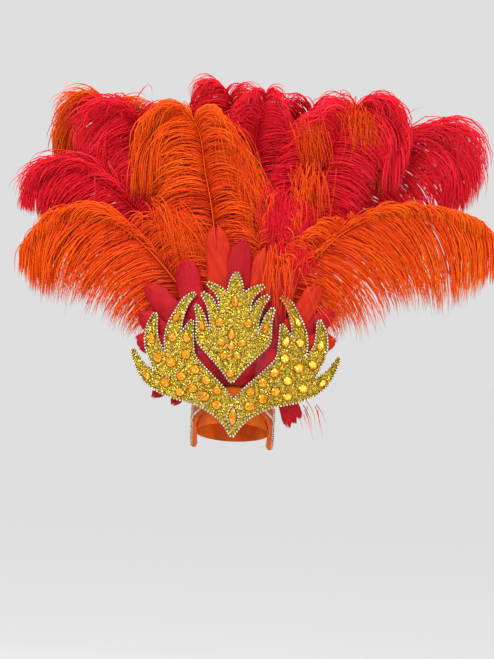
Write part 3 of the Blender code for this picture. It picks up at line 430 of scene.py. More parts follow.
# Plumes. Barb lengths at start, middle and tip are shares of the barb unit, left and right of the travel.
plumeTable = (
    # name, colour, layer, bare share, droop, left barbs, right barbs, route
    ("plume_low_left_orange", "orange", 2.0, 0.20, 0.80, (1.45, 1.95, 0.80), (1.25, 1.05, 0.50),
     ((-0.07, 0.175), (-0.16, 0.24), (-0.237, 0.345), (-0.372, 0.459), (-0.50, 0.528), (-0.62, 0.555),
      (-0.735, 0.535), (-0.825, 0.47))),
    ("plume_low_right_orange", "orange", 2.0, 0.20, 0.80, (1.0, 0.75, 0.42), (1.7, 2.15, 0.75),
     ((0.07, 0.175), (0.19, 0.37), (0.30, 0.452), (0.39, 0.523), (0.49, 0.571), (0.60, 0.603),
      (0.75, 0.61), (0.89, 0.585), (0.975, 0.535))),
    ("plume_centre_right_orange", "orange", 3.0, 0.30, 0.95, (0.5, 0.50, 0.60), (0.5, 0.60, 0.75),
     ((0.06, 0.175), (0.105, 0.36), (0.135, 0.52), (0.155, 0.62), (0.185, 0.655), (0.22, 0.63))),
    ("plume_centre_left_orange", "orange", 4.0, 0.30, 0.75, (1.2, 1.35, 1.00), (1.25, 0.95, 1.20),
     ((-0.05, 0.175), (-0.11, 0.54), (-0.15, 0.69), (-0.175, 0.80), (-0.215, 0.862), (-0.28, 0.875),
      (-0.335, 0.852), (-0.365, 0.80))),
    ("plume_left_red", "red", 5.0, 0.33, 0.62, (0.9, 1.35, 0.38), (1.0, 1.25, 0.42),
     ((-0.12, 0.175), (-0.27, 0.42), (-0.45, 0.59), (-0.62, 0.68), (-0.75, 0.685), (-0.83, 0.62))),
    ("plume_upper_right_red", "red", 5.0, 0.30, 0.75, (1.2, 1.15, 0.60), (1.2, 1.35, 0.80),
     ((0.10, 0.175), (0.23, 0.56), (0.33, 0.78), (0.43, 0.905), (0.52, 0.92), (0.58, 0.86),
      (0.59, 0.79))),
    ("plume_upper_left_red", "red", 6.0, 0.38, 0.65, (1.0, 1.30, 0.85), (1.0, 1.25, 0.55),
     ((-0.09, 0.175), (-0.22, 0.54), (-0.33, 0.73), (-0.43, 0.845), (-0.52, 0.868), (-0.58, 0.82),
      (-0.605, 0.74))),
    ("plume_upper_right_orange", "orange", 6.0, 0.42, 0.80, (0.9, 0.85, 0.80), (0.9, 0.95, 0.85),
     ((0.08, 0.175), (0.22, 0.51), (0.32, 0.72), (0.41, 0.845), (0.48, 0.865), (0.535, 0.81))),
    ("plume_top_centre_red", "red", 7.0, 0.28, 0.55, (1.1, 1.30, 0.45), (1.1, 1.35, 0.50),
     ((0.035, 0.175), (0.036, 0.46), (0.037, 0.70), (0.045, 0.85), (0.072, 0.945))),
    ("plume_top_left_red", "red", 8.0, 0.38, 0.60, (1.0, 1.20, 0.55), (0.9, 0.90, 0.45),
     ((-0.012, 0.175), (-0.012, 0.61), (-0.045, 0.87), (-0.090, 0.945), (-0.14, 0.955), (-0.175, 0.90))),
    ("plume_right_red", "red", 8.0, 0.34, 0.70, (1.0, 1.75, 0.60), (1.1, 1.70, 0.70),
     ((0.12, 0.175), (0.24, 0.48), (0.36, 0.61), (0.46, 0.70), (0.57, 0.76), (0.66, 0.815),
      (0.75, 0.835), (0.82, 0.79), (0.835, 0.72))),
    ("plume_far_left_orange", "orange", 9.0, 0.48, 0.65, (0.8, 0.90, 0.60), (0.9, 1.00, 0.50),
     ((-0.10, 0.175), (-0.29, 0.49), (-0.43, 0.72), (-0.535, 0.865), (-0.61, 0.895), (-0.68, 0.855),
      (-0.71, 0.78))),
    ("plume_top_right_red", "red", 10.0, 0.42, 0.60, (1.0, 1.25, 0.45), (1.0, 1.30, 0.60),
     ((0.06, 0.175), (0.14, 0.58), (0.20, 0.80), (0.26, 0.90), (0.33, 0.915), (0.38, 0.87))),
)
plume = {"barbsPerMetre": 1380, "steps": 6, "bareFill": 0.45, "rootWidth": 0.0018, "middleWidth": 0.0029,
         "tipWidth": 0.0005, "ridge": 0.0007, "swellPower": 0.8, "lengthSpread": 0.16,
         "lengthLimits": (0.45, 1.18), "angleSpread": 7, "droopSpread": 0.14, "droopLimits": (0.05, 2.2),
         "turnEarly": 0.6, "turnLimit": 0.96, "clump": 7, "clumpPull": (0.15, 0.75), "clumpPower": 1.6,
         "depthSpread": 0.30, "loose": (0.25, 0.75), "behind": 0.2, "arch": 0.055, "archOver": 0.9,
         "tipBarbs": 90, "tipFrom": 388,
         # thin growth on the bare stretch: its share of the barbs, and their lengths
         "sparseShare": 0.14, "sparseLength": (0.55, 0.45),
         # past foldFrom of the feathered stretch the barbs are longer, lie closer to the quill, turn down
         # sooner and hang in front
         "fold": 1.1, "foldFrom": 0.45, "foldForward": 0.018, "foldClose": 0.40, "foldLonger": 0.25,
         # barbs near the crown stand in the shade of those in front, and are painted darker as painted shade;
         # the tips are painted lighter as painted light
         "tone": 0.26, "toneSpread": 0.08, "tipLight": 0.42, "tonePower": 0.9, "shade": 0.34,
         "shadeReach": 0.52,
         # share of the barbs that the thin fringes at the right have
         "fringes": {"plume_centre_right_orange": 0.16, "plume_upper_right_orange": 0.28},
         "quillSteps": 400, "quillFoot": 0.0050, "quillTip": 0.0011, "quillStations": 64, "quillLift": 0.0006,
         "quillRidge": 0.6, "quillTone": 0.45, "seed": 11}


def barbPaths(roots, tangents, sides, lengths, droops, angles, steps):
    normals = np.stack((-tangents[:, 1], tangents[:, 0]), 1) * sides[:, None]
    heading = tangents * np.cos(angles)[:, None] + normals * np.sin(angles)[:, None]
    start = np.arctan2(heading[:, 1], heading[:, 0])
    # the shorter way round to straight down
    turn = (-pi / 2 - start + pi) % (2 * pi) - pi
    points = [roots]
    for step in range(steps):
        angle = start + turn * np.minimum(plume["turnLimit"], droops * (step + plume["turnEarly"]) / steps)
        points.append(points[-1] + np.stack((np.cos(angle), np.sin(angle)), 1) * (lengths / steps)[:, None])
    return np.stack(points, 1)


def barbLength(lengths, along):
    start, middle, tip = lengths
    ends = np.where(along < 0.5, start, tip)
    return fan["barbUnit"] * (ends + (middle - ends) * np.sin(pi * along))


def clumped(paths, random):
    # neighbouring barbs cling together towards their ends
    steps = paths.shape[1]
    share = np.linspace(0, 1, steps)[None, :, None] ** plume["clumpPower"]
    group = np.cumsum(random.random(len(paths)) < 1 / plume["clump"])
    sums = np.zeros((group.max() + 1, steps, 2))
    np.add.at(sums, group, paths)
    middle = sums / np.bincount(group, minlength=len(sums))[:, None, None]
    pull = random.uniform(*plume["clumpPull"], len(sums))[group][:, None, None]
    return paths + (middle[group] - paths) * pull * share, group


def barbGroup(roots, tangents, side, lengths, layer, droop, angle, along, random):
    count = len(roots)
    folded = ((along - plume["foldFrom"]) / (1 - plume["foldFrom"])).clip(0, 1)
    lengths = lengths * (1 + plume["foldLonger"] * folded)
    lengths = lengths * (1 + random.normal(0, plume["lengthSpread"], count)).clip(*plume["lengthLimits"])
    angles = angle * (1 - plume["foldClose"] * folded) + random.normal(0, plume["angleSpread"], count)
    angles = np.radians(angles)
    droops = droop * (1 + plume["fold"] * folded) + random.normal(0, plume["droopSpread"], count)
    droops = droops.clip(*plume["droopLimits"])
    sides = np.full(count, side) if np.isscalar(side) else side
    flat = barbPaths(roots, tangents, sides, lengths, droops, angles, plume["steps"])
    flat, group = clumped(flat, random)
    rising = (flat[:, 1, 1] > flat[:, 0, 1])
    along = np.linspace(0, 1, plume["steps"] + 1)[None, :]
    atRoot, further = plume["loose"]
    spread = random.normal(0, plume["depthSpread"], count)[:, None] * (atRoot + further * along)
    depth = fanDepth(flat[..., 0], flat[..., 1], layer + plume["behind"] + spread)
    arch = random.normal(plume["arch"], plume["arch"], (count, 1))
    depth -= np.sin(pi * along * plume["archOver"]) * lengths[:, None] * arch
    depth -= plume["foldForward"] * (folded * rising)[:, None] * along
    paths = np.stack((flat[..., 0], depth, flat[..., 1]), -1)
    swell = np.sin(pi * along ** plume["swellPower"])
    widths = plume["rootWidth"] * (1 - along) + plume["tipWidth"] * along
    widths = (widths + (plume["middleWidth"] - plume["rootWidth"]) * swell) * np.ones((count, 1))
    tone = random.normal(plume["tone"], plume["toneSpread"], count)[:, None]
    tone = tone + random.normal(0, plume["toneSpread"], group.max() + 1)[group][:, None]
    # painted shade on barbs near the crown, and painted light that grows towards the tips
    reach = np.hypot(flat[..., 0], flat[..., 1] - fan["centreZ"])
    shade = plume["shade"] * (1 - reach / plume["shadeReach"]).clip(0, 1)
    tone = tone + plume["tipLight"] * along ** plume["tonePower"] - shade
    return paths, widths, np.full_like(widths, plume["ridge"]), tone


def makePlume(name, colour, layer, bare, droop, leftBarbs, rightBarbs, route, number):
    random = np.random.default_rng(plume["seed"] + number)
    points = [(across * fan["reach"], up * fan["rise"]) for across, up in route]
    points[0] = (points[0][0], fan["holderTop"] + head["clearance"])
    quill, length = evenly(through(points, 10), plume["quillSteps"])
    tangents = np.gradient(quill, axis=0)
    tangents /= np.linalg.norm(tangents, axis=1, keepdims=True)
    share = plume["fringes"].get(name, 1)
    count = round(plume["barbsPerMetre"] * length * (1 - bare * (1 - plume["bareFill"])) * share)
    groups = []
    least, more = plume["sparseLength"]
    for side, lengths in ((1, leftBarbs), (-1, rightBarbs)):
        sparse = random.uniform(bare * 0.5, bare, round(count * plume["sparseShare"]))
        shares = np.sort(np.concatenate((random.uniform(bare, 1, count), sparse)))
        index = (shares * plume["quillSteps"]).astype(int).clip(0, plume["quillSteps"])
        along = ((shares - bare) / (1 - bare)).clip(0, 1)
        long = barbLength(lengths, along) * (least + more * np.minimum(1, shares / bare))
        groups.append(barbGroup(quill[index], tangents[index], side, long, layer, droop,
                                fan["barbAngle"], along, random))
    ends = round(plume["tipBarbs"] * share)
    tipLength = fan["barbUnit"] * (leftBarbs[2] + rightBarbs[2]) / 2
    spread = random.uniform(-1, 1, ends)
    index = random.integers(plume["tipFrom"], plume["quillSteps"] + 1, ends)
    groups.append(barbGroup(quill[index], tangents[index], np.sign(spread), np.full(ends, tipLength), layer,
                            droop, abs(spread) * fan["barbAngle"], np.ones(ends), random))
    shaft = evenly(quill, plume["quillStations"])[0]
    depth = fanDepth(shaft[:, 0], shaft[:, 1], layer) - plume["quillLift"]
    path = np.stack((shaft[:, 0], depth, shaft[:, 1]), -1)[None]
    width = np.linspace(plume["quillFoot"], plume["quillTip"], len(shaft))[None]
    groups.append((path, width, width * plume["quillRidge"], np.full(width.shape, plume["quillTone"])))
    made = strandMesh(name + "_barbs", groups)
    return place(made, colour + "Feather", colour + "_feather", name)


for number, row in enumerate(plumeTable):
    makePlume(*row, number)
print("plumes made")


# Loose strands that have come out of their plumes and hang in front of the rest
wispTable = (
    # name, colour, layer, count, length, heading in degrees (90 is up), droop, first root, last root
    ("wisps_top_middle", "orange", 3.9, 70, 0.120, -75, 0.5, (0.110, 0.580), (0.160, 0.600)),
    ("wisps_top_right", "orange", 3.9, 60, 0.095, -80, 0.5, (0.215, 0.635), (0.270, 0.610)),
    ("wisps_left_of_middle", "orange", 3.3, 230, 0.165, -62, 0.7, (-0.045, 0.585), (0.040, 0.430)),
    ("wisps_middle", "orange", 2.7, 60, 0.150, -85, 0.6, (0.110, 0.500), (0.170, 0.490)),
    ("wisps_crown_right", "orange", -1.9, 46, 0.150, -85, 0.7, (0.050, 0.310), (0.125, 0.290)),
    ("wisps_crown_left", "orange", 0.9, 90, 0.150, -55, 0.8, (-0.195, 0.400), (-0.110, 0.390)),
    ("wisps_red_middle", "red", 2.6, 240, 0.150, -95, 0.5, (0.060, 0.450), (0.150, 0.400)),
    ("wisps_red_low", "red", 1.6, 120, 0.120, -90, 0.5, (0.070, 0.340), (0.150, 0.310)),
    ("wisps_low_right", "orange", 1.2, 9, 0.070, -60, 0.8, (0.138, 0.006), (0.168, -0.010)),
)
wisps = {"angleSpread": 18, "rootSpread": 0.012, "width": 0.65, "steps": 8, "lengths": (0.45, 1.1),
         "droops": (0.5, 1.3), "layerSpread": 0.15, "tone": 0.24, "toneSpread": 0.12, "tipLight": 0.30,
         "seed": 300}


def makeWisps(name, colour, layer, count, length, heading, droop, first, last, number):
    random = np.random.default_rng(wisps["seed"] + number)
    shares = np.sort(random.uniform(0, 1, count))[:, None]
    roots = np.array(first) * (1 - shares) + np.array(last) * shares
    roots = roots + random.normal(0, wisps["rootSpread"], (count, 2))
    angle = np.radians(heading + random.normal(0, wisps["angleSpread"], count))
    tangents = np.stack((np.cos(angle), np.sin(angle)), 1)
    lengths = length * random.uniform(*wisps["lengths"], count)
    droops = droop * random.uniform(*wisps["droops"], count)
    flat = barbPaths(roots, tangents, np.ones(count), lengths, droops, np.zeros(count), wisps["steps"])
    flat = clumped(flat, random)[0]
    along = np.linspace(0, 1, wisps["steps"] + 1)[None, :]
    layers = layer + random.normal(0, wisps["layerSpread"], (count, 1))
    depth = fanDepth(flat[..., 0], flat[..., 1], layers)
    widths = plume["middleWidth"] * (1 - along) + plume["tipWidth"] * along
    widths = widths * np.full((count, 1), wisps["width"])
    # the tips are painted lighter, as painted light
    tone = random.normal(wisps["tone"], wisps["toneSpread"], count)[:, None] + wisps["tipLight"] * along
    paths = np.stack((flat[..., 0], depth, flat[..., 1]), -1)
    made = strandMesh(name, [(paths, widths, np.full_like(widths, plume["ridge"]), tone)])
    return place(made, colour + "Feather", colour + "_feather")


for number, row in enumerate(wispTable):
    makeWisps(*row, number)
print("loose strands made")


# Flats: broad satiny feathers with round ends
flatTable = (
    # name, colour, layer, feather width, root ends, tips
    ("flats_left", "red", 0.0, 0.050, ((-1.0, 0.74), (-1.0, 1.0)),
     ((-0.392, 0.175), (-0.385, 0.255), (-0.362, 0.345))),
    ("flats_centre", "red", 0.0, 0.056, ((-0.90, 1.0), (0.90, 1.0)),
     ((-0.215, 0.430), (-0.100, 0.540), (0.005, 0.500), (0.105, 0.475), (0.205, 0.425))),
    ("flats_right", "orange", 0.0, 0.046, ((1.0, 1.0), (1.0, 0.74)),
     ((0.310, 0.370), (0.375, 0.290), (0.388, 0.200))),
    ("flats_low_left", "red", 1.0, 0.028, ((-1.0, 0.46), (-1.0, 0.62)),
     ((-0.235, -0.024), (-0.318, -0.004))),
    ("flats_low_right", "red", 1.0, 0.026, ((1.0, 0.66), (1.0, 0.42)),
     ((0.262, -0.048), (0.243, -0.066), (0.218, -0.078))),
)
flats = {"columns": 10, "rows": 26, "crown": 0.16, "crownRise": (0.4, 0.6), "thick": 0.0007, "bend": 0.05,
         "layerStep": 0.3, "fray": 0.05, "frayFrom": 0.9, "splits": 2, "splitSide": 0.8,
         "splitDepths": (0.10, 0.26), "splitNarrow": 7, "splitFrom": 0.7, "splitOver": 0.3,
         "tone": -0.05, "toneSpread": 0.07, "toneWaves": (900, 700), "smoothAngle": 60, "seed": 40,
         "others": {"flats_centre": "orange", "flats_right": "red"},
         "shape": ((0.0, 0.50), (0.25, 0.92), (0.55, 1.0), (0.80, 0.94), (0.93, 0.66), (1.0, 0.20))}


def makeFlat(bm, start, tip, width, layer, material, random):
    # a grid bent to one feather: crowned across, frayed and notched towards its end
    grid = bmesh.ops.create_grid(bm, x_segments=flats["columns"], y_segments=flats["rows"], size=1)["verts"]
    for face in {face for vert in grid for face in vert.link_faces}:
        face.material_index = material
    along = (tip - start).normalized()
    across = Vector((-along.y, along.x))
    length = (tip - start).length
    stations, widths = zip(*flats["shape"])
    splits = [(random.uniform(-flats["splitSide"], flats["splitSide"]), random.uniform(*flats["splitDepths"]))
              for _ in range(flats["splits"])]
    bend = random.uniform(-flats["bend"], flats["bend"])
    low, more = flats["crownRise"]
    for vert in grid:
        side, share = vert.co.x, (vert.co.y + 1) / 2
        half = np.interp(share, stations, widths) * width / 2
        reach = share * length * (1 - flats["fray"] * random.random() * (share > flats["frayFrom"]))
        for middle, depth in splits:
            near = max(0, 1 - abs(side - middle) * flats["splitNarrow"])
            reach -= length * depth * near * max(0, share - flats["splitFrom"]) / flats["splitOver"]
        here = start + along * reach + across * (side * half + bend * length * sin(pi * share))
        rise = (1 - side**2) * width * flats["crown"] * (low + more * share)
        vert.co = (here.x, float(fanDepth(here.x, here.y, layer)) - rise, here.y)


def makeFlats(name, colour, layer, width, rootEnds, tips, number):
    random = np.random.default_rng(flats["seed"] + number)
    ends = [Vector((across * fan["holderHalf"], up * fan["holderTop"])) for across, up in rootEnds]
    bm = bmesh.new()
    for index, (across, up) in enumerate(tips):
        start = ends[0].lerp(ends[1], (index + 0.5) / len(tips))
        tip = Vector((across * fan["reach"], up * fan["rise"]))
        makeFlat(bm, start, tip, width, layer + flats["layerStep"] * (index % 2), index % 2, random)
    made = fromBmesh(bm, name + "_vanes", flats["smoothAngle"])
    shade = made.data.attributes.new("tone", "FLOAT", "POINT")
    across, up = flats["toneWaves"]
    for vert, value in zip(made.data.vertices, shade.data):
        value.value = flats["tone"] + flats["toneSpread"] * sin(vert.co.x * across) * sin(vert.co.z * up)
    solid = made.modifiers.new("vane", "SOLIDIFY")
    solid.thickness = flats["thick"]
    solid.offset = 0
    # every other feather of the tufts in the middle and at the right has the second colour
    which = [face.material_index for face in made.data.polygons]
    place(made, colour + "Feather", colour + "_feather", name)
    made.data.materials.append(materials[flats["others"].get(name, colour) + "Feather"])
    made.data.polygons.foreach_set("material_index", which)
    return made


for number, row in enumerate(flatTable):
    makeFlats(*row, number)
print("flats made")


# Stones
wingStones = (
    # name, across, up, width, height, turn, cut, whether a node of its own
    ("flame_tall", 0.585, 0.831, 0.66, 1.30, 30, "drop", True),
    ("flame_round", 0.622, 0.680, 0.98, 0.98, 0, "oval", True),
    ("inner_drop", 0.484, 0.686, 0.80, 1.30, -20, "drop", True),
    ("outer_drop", 0.822, 0.668, 0.76, 1.32, -10, "drop", True),
    ("outer_round", 0.752, 0.528, 1.00, 1.00, 0, "oval", False),
    ("large_oval", 0.618, 0.501, 1.20, 1.10, 0, "oval", True),
    ("inner_round", 0.479, 0.562, 1.02, 1.02, 0, "oval", False),
    ("end_oval", 0.853, 0.398, 0.62, 1.10, -52, "oval", True),
    ("middle_outer", 0.667, 0.356, 1.14, 0.95, 20, "oval", False),
    ("middle", 0.516, 0.407, 1.10, 0.95, 20, "oval", False),
    ("middle_inner", 0.387, 0.460, 1.10, 0.95, 30, "oval", False),
    ("inner_low", 0.272, 0.386, 1.05, 0.92, 30, "oval", False),
    ("low_outer", 0.521, 0.294, 1.05, 0.88, 10, "oval", False),
    ("low_middle", 0.401, 0.325, 1.05, 0.92, 20, "oval", False),
    ("notch_oval", 0.161, 0.319, 0.95, 0.88, 30, "oval", False),
    ("brow_round", 0.281, 0.273, 1.12, 1.12, 0, "oval", True),
    ("brow_oval", 0.159, 0.215, 1.18, 1.02, 10, "oval", True),
)
medalStones = (
    # name, across, up, width, height, turn, cut
    ("spire_drop", 0.000, 0.742, 0.70, 1.25, 0, "drop"),
    ("left_round", -0.380, 0.540, 0.95, 0.95, 0, "oval"),
    ("right_round", 0.370, 0.540, 0.95, 0.95, 0, "oval"),
    ("left_drop", -0.822, 0.507, 0.58, 1.25, 8, "drop"),
    ("right_drop", 0.822, 0.507, 0.58, 1.25, -8, "drop"),
    ("flower_eye", -0.050, 0.326, 0.80, 0.80, 0, "oval"),
    ("foot_round", -0.040, 0.078, 0.90, 0.90, 0, "oval"),
)
stoneCut = {"unit": 0.020, "height": 0.0055, "sides": 14, "petals": 5, "petalRadius": 0.0235,
            "petal": (0.76, 1.04), "marquise": (0.88, 1.95), "marquiseUp": 0.137, "overFused": 1.05,
            "foot": 0.96, "dropTaper": 0.42, "marquiseTaper": 0.35, "marquiseLonger": 1.08,
            # the rim is partly foil edge and partly painted shade, the table a painted highlight, and the
            # facets differ at random as painted glints
            "rimFoilAndShade": 0.05, "tableHighlight": 0.62, "facetGlintSpread": 0.18,
            # rise as a share of the height, size as a share of the outline, turn in steps
            "rows": ((0.30, 1.00, 0.0), (0.72, 0.84, 0.5), (1.00, 0.56, 0.0)), "seed": 70}
stonePlaces = []          # (x, z, half width, half height, turn) of what is kept clear of chips


def cutShape(cut, across, up):
    if cut == "drop":
        return across * (1 - stoneCut["dropTaper"] * up), up
    if cut == "marquise":
        return across * (1 - stoneCut["marquiseTaper"] * abs(up)), up * stoneCut["marquiseLonger"]
    return across, up


def facetOrder(face):
    # from the rim up and then round, so that the facets come in the same order each time
    middle = face.calc_center_median()
    return round(middle.z, 3) * 100 + (atan2(middle.y, middle.x) + 0.05) % (2 * pi)


def makeStone(name, cut, middle, size, turn, front, nodes, seed, swell=1.0):
    bm = bmesh.new()
    sides = stoneCut["sides"]
    bmesh.ops.create_circle(bm, cap_ends=True, radius=stoneCut["foot"], segments=sides)
    for rise, share, twist in stoneCut["rows"]:
        top = max(bm.faces, key=lambda face: (len(face.verts), face.calc_center_median().z))
        ring = bmesh.ops.extrude_face_region(bm, geom=[top])["geom"]
        verts = [item for item in ring if isinstance(item, bmesh.types.BMVert)]
        grown = share / verts[0].co.xy.length
        bmesh.ops.scale(bm, vec=(grown, grown, 1), verts=verts)
        bmesh.ops.rotate(bm, matrix=Matrix.Rotation(twist * 2 * pi / sides, 3, "Z"), verts=verts)
        for vert in verts:
            vert.co.z = rise
        bmesh.ops.delete(bm, geom=[top] if rise > stoneCut["rows"][0][0] else [], context="FACES_ONLY")
    bmesh.ops.recalc_face_normals(bm, faces=bm.faces)
    bmesh.ops.triangulate(bm, faces=[face for face in bm.faces if len(face.verts) == 4])
    # the table stays flat, and is parted only so that its glints differ
    bmesh.ops.poke(bm, faces=[face for face in bm.faces if face.calc_center_median().z > 0.99])
    bm.faces.sort(key=facetOrder)
    heights = np.array([face.calc_center_median().z for face in bm.faces])
    angle = radians(turn)
    unit = stoneCut["unit"] * swell
    for vert in bm.verts:
        across, up = cutShape(cut, vert.co.x, vert.co.y)
        across, up = across * size[0] * unit / 2, up * size[1] * unit / 2
        x = middle[0] + across * cos(angle) - up * sin(angle)
        z = middle[1] + across * sin(angle) + up * cos(angle)
        vert.co = (x, float(crownDepth(x, z)) + front - vert.co.z * stoneCut["height"] * swell, z)
    bmesh.ops.recalc_face_normals(bm, faces=bm.faces)
    random = np.random.default_rng(seed)
    made = fromBmesh(bm, name)
    # the rim is painted deep, partly foil edge and partly painted shade, and the table bright as a painted
    # highlight; each facet is a little off that, as painted glints
    tones = stoneCut["rimFoilAndShade"] + (stoneCut["tableHighlight"] - stoneCut["rimFoilAndShade"]) * heights
    tones += random.normal(0, stoneCut["facetGlintSpread"], len(heights))
    shade = made.data.attributes.new("tone", "FLOAT", "FACE")
    shade.data.foreach_set("value", tones.astype(np.float32))
    stonePlaces.append((*middle, size[0] * unit / 2, size[1] * unit / 2, angle))
    return place(made, "amber", "amber_stone", *nodes)


def wingPlace(across, up):
    return across * crown["wingSpan"], up * crown["wingHeight"] - crown["vDrop"]


def medalPlace(across, up):
    return across * crown["medalSpan"] + crown["medalShift"], up * crown["medalHeight"] + crown["medalFoot"]


def makeStones():
    seed = stoneCut["seed"]
    for name, across, up, width, height, turn, cut, own in wingStones:
        for side, word in ((-1, "left"), (1, "right")):
            seed += 1
            node = f"stone_{word}_{name}"
            makeStone(f"cut_{word}_{name}", cut, wingPlace(across * side, up), (width, height), turn * side,
                      -head["clearance"], [node] if own else [], seed, 1.0 if own else stoneCut["overFused"])
    makeStone("cut_brow_marquise", "marquise", wingPlace(0, stoneCut["marquiseUp"]), stoneCut["marquise"], 0,
              -head["clearance"], ["stone_brow_marquise"], seed)
    front = -crown["medalLift"] - head["clearance"]
    for name, across, up, width, height, turn, cut in medalStones:
        seed += 1
        makeStone(f"cut_medallion_{name}", cut, medalPlace(across, up), (width, height), turn, front,
                  [f"stone_medallion_{name}"], seed)
        if name == "flower_eye":
            eye = medalPlace(across, up)
    for index in range(stoneCut["petals"]):
        turn = 2 * pi * index / stoneCut["petals"]
        middle = (eye[0] - stoneCut["petalRadius"] * sin(turn), eye[1] + stoneCut["petalRadius"] * cos(turn))
        makeStone(f"cut_petal_{index + 1}", "oval", middle, stoneCut["petal"], turn * 180 / pi, front,
                  [f"stone_petal_{index + 1}"], seed + index)


makeStones()
print("stones made")


# Beads and glitter chips
beads = {"radius": 0.0024, "spread": (0.94, 1.05), "pitch": 0.0064, "sides": 10, "rings": 7, "sunk": 0.45,
         "guardPitch": 0.0049, "marquiseGrow": 1.34, "marquiseSunk": 0.8, "marquisePoints": 60, "seed": 90}
chips = {"size": (0.0008, 0.0019), "sides": 5, "height": 0.35, "tilt": 32, "wing": 5200, "medal": 2700,
         "off": 0.0003, "tries": 5, "rimGap": 0.0008, "stoneGap": 1.02, "seed": 120}
trimRoutes = (
    # name, then down (share of the guard's drop) and lengthwise (share of the head's half length)
    ("outer", ((0.13, -0.10), (0.34, -0.04), (0.55, -0.07), (0.78, -0.13), (0.93, -0.21), (0.985, -0.30))),
    ("brow", ((0.155, -0.76), (0.20, -0.68), (0.27, -0.55), (0.36, -0.36), (0.47, -0.20))),
)


def beadString(name, centres, nodes=()):
    random = np.random.default_rng(beads["seed"] + len(centres))
    bm = bmesh.new()
    bmesh.ops.create_uvsphere(bm, u_segments=beads["sides"], v_segments=beads["rings"], radius=1)
    count = len(centres)
    sizes = beads["radius"] * random.uniform(*beads["spread"], count)
    matrices = np.eye(3)[None] * sizes[:, None, None]
    made = repeated(name, templateArrays(bm), matrices, np.array(centres), random.uniform(0, 1, count), True)
    return place(made, "bead", "silver_beads", *nodes)


def rimBeads(name, outline, front):
    spots = atPitch(insetLoop(outline, crown["rimWidth"] / 2), beads["pitch"], closed=True)
    lift = front - crown["rimHeight"] - beads["radius"] * beads["sunk"]
    return beadString(name, [(x, float(crownDepth(x, z)) + lift, z) for x, z in spots])


def onCapSide(lengthwise, down, side, standOff):
    wide = head["halfWidth"] + head["capWall"] + head["guardGap"] + standOff
    long = head["halfLength"] + head["capWall"] + head["guardGap"] + standOff
    y = lengthwise * head["halfLength"]
    return Vector((side * wide * sqrt(1 - (y / long) ** 2), y, -down * head["guardDrop"]))


def glitterChips(name, outline, front, count):
    random = np.random.default_rng(chips["seed"] + count)
    low = np.min([tuple(point) for point in outline], axis=0)
    high = np.max([tuple(point) for point in outline], axis=0)
    spots = random.uniform(low, high, (count * chips["tries"], 2))
    spots = spots[inside(spots, insetLoop(outline, crown["rimWidth"] + chips["rimGap"]))]
    for x, z, half, tall, angle in stonePlaces:
        off = spots - (x, z)
        across = (off[:, 0] * cos(angle) + off[:, 1] * sin(angle)) / half
        up = (-off[:, 0] * sin(angle) + off[:, 1] * cos(angle)) / tall
        spots = spots[np.hypot(across, up) > chips["stoneGap"]]
    spots = spots[:count]
    bm = bmesh.new()
    bmesh.ops.create_cone(bm, cap_ends=True, segments=chips["sides"], radius1=1, radius2=0,
                          depth=chips["height"])
    template = templateArrays(bm)
    matrices = np.zeros((len(spots), 3, 3))
    for index, (size, turn, tilt, heading) in enumerate(zip(
            random.uniform(*chips["size"], len(spots)), random.uniform(0, 2 * pi, len(spots)),
            random.normal(0, radians(chips["tilt"]), len(spots)), random.uniform(0, 2 * pi, len(spots)))):
        tilted = Matrix.Rotation(tilt, 3, Vector((cos(heading), sin(heading), 0)))
        facing = Matrix.Rotation(pi / 2, 3, "X") @ tilted
        matrices[index] = np.array(facing @ Matrix.Rotation(turn, 3, "Z")) * size
    depth = crownDepth(spots[:, 0], spots[:, 1]) + front - chips["off"]
    offsets = np.stack((spots[:, 0], depth, spots[:, 1]), 1)
    made = repeated(name, template, matrices, offsets, random.uniform(0, 1, len(spots)), False)
    return place(made, "chip", "gold_glitter")


wingLoop = plateOutline(wingOutline, crown["wingSpan"], crown["wingHeight"], -crown["vDrop"])
medalLoop = plateOutline(medalOutline, crown["medalSpan"], crown["medalHeight"], crown["medalFoot"],
                         crown["medalShift"])
rimBeads("beads_lower_crown", wingLoop, 0)
rimBeads("beads_medallion", medalLoop, -crown["medalLift"])
glitterChips("chips_lower_crown", wingLoop, 0, chips["wing"])
glitterChips("chips_medallion", medalLoop, -crown["medalLift"], chips["medal"])


def marquiseBeads():
    middle = wingPlace(0, stoneCut["marquiseUp"])
    ring = []
    for index in range(beads["marquisePoints"]):
        angle = 2 * pi * index / beads["marquisePoints"]
        across, up = cutShape("marquise", cos(angle), sin(angle))
        half = [size * stoneCut["unit"] / 2 for size in stoneCut["marquise"]]
        ring.append((middle[0] + across * (half[0] + beads["radius"] * beads["marquiseGrow"]),
                     middle[1] + up * (half[1] + beads["radius"] * beads["marquiseGrow"])))
    lift = beads["radius"] * beads["marquiseSunk"]
    beadString("beads_brow_marquise", [(x, float(crownDepth(x, z)) - lift, z)
                                       for x, z in atPitch(ring, beads["pitch"], closed=True)])


marquiseBeads()
for side, word in ((-1, "left"), (1, "right")):
    for name, route in trimRoutes:
        curve = through(route, 10)
        off = head["guardWall"] + head["clearance"] + beads["radius"]
        line = [onCapSide(point.y, point.x, side, off) for point in curve]
        beadString(f"beads_guard_{name}_{word}", atPitch(line, beads["guardPitch"]),
                   [f"ear_trim_{name}_{word}"])
print("beads and chips made")


# Satin over the cap and the guards, and the boards behind. Angles are in degrees.
cover = {"merge": 0.00005, "flatAngle": 25, "shapeAngle": 40, "creaseAngle": 35, "sharpAngle": 50}


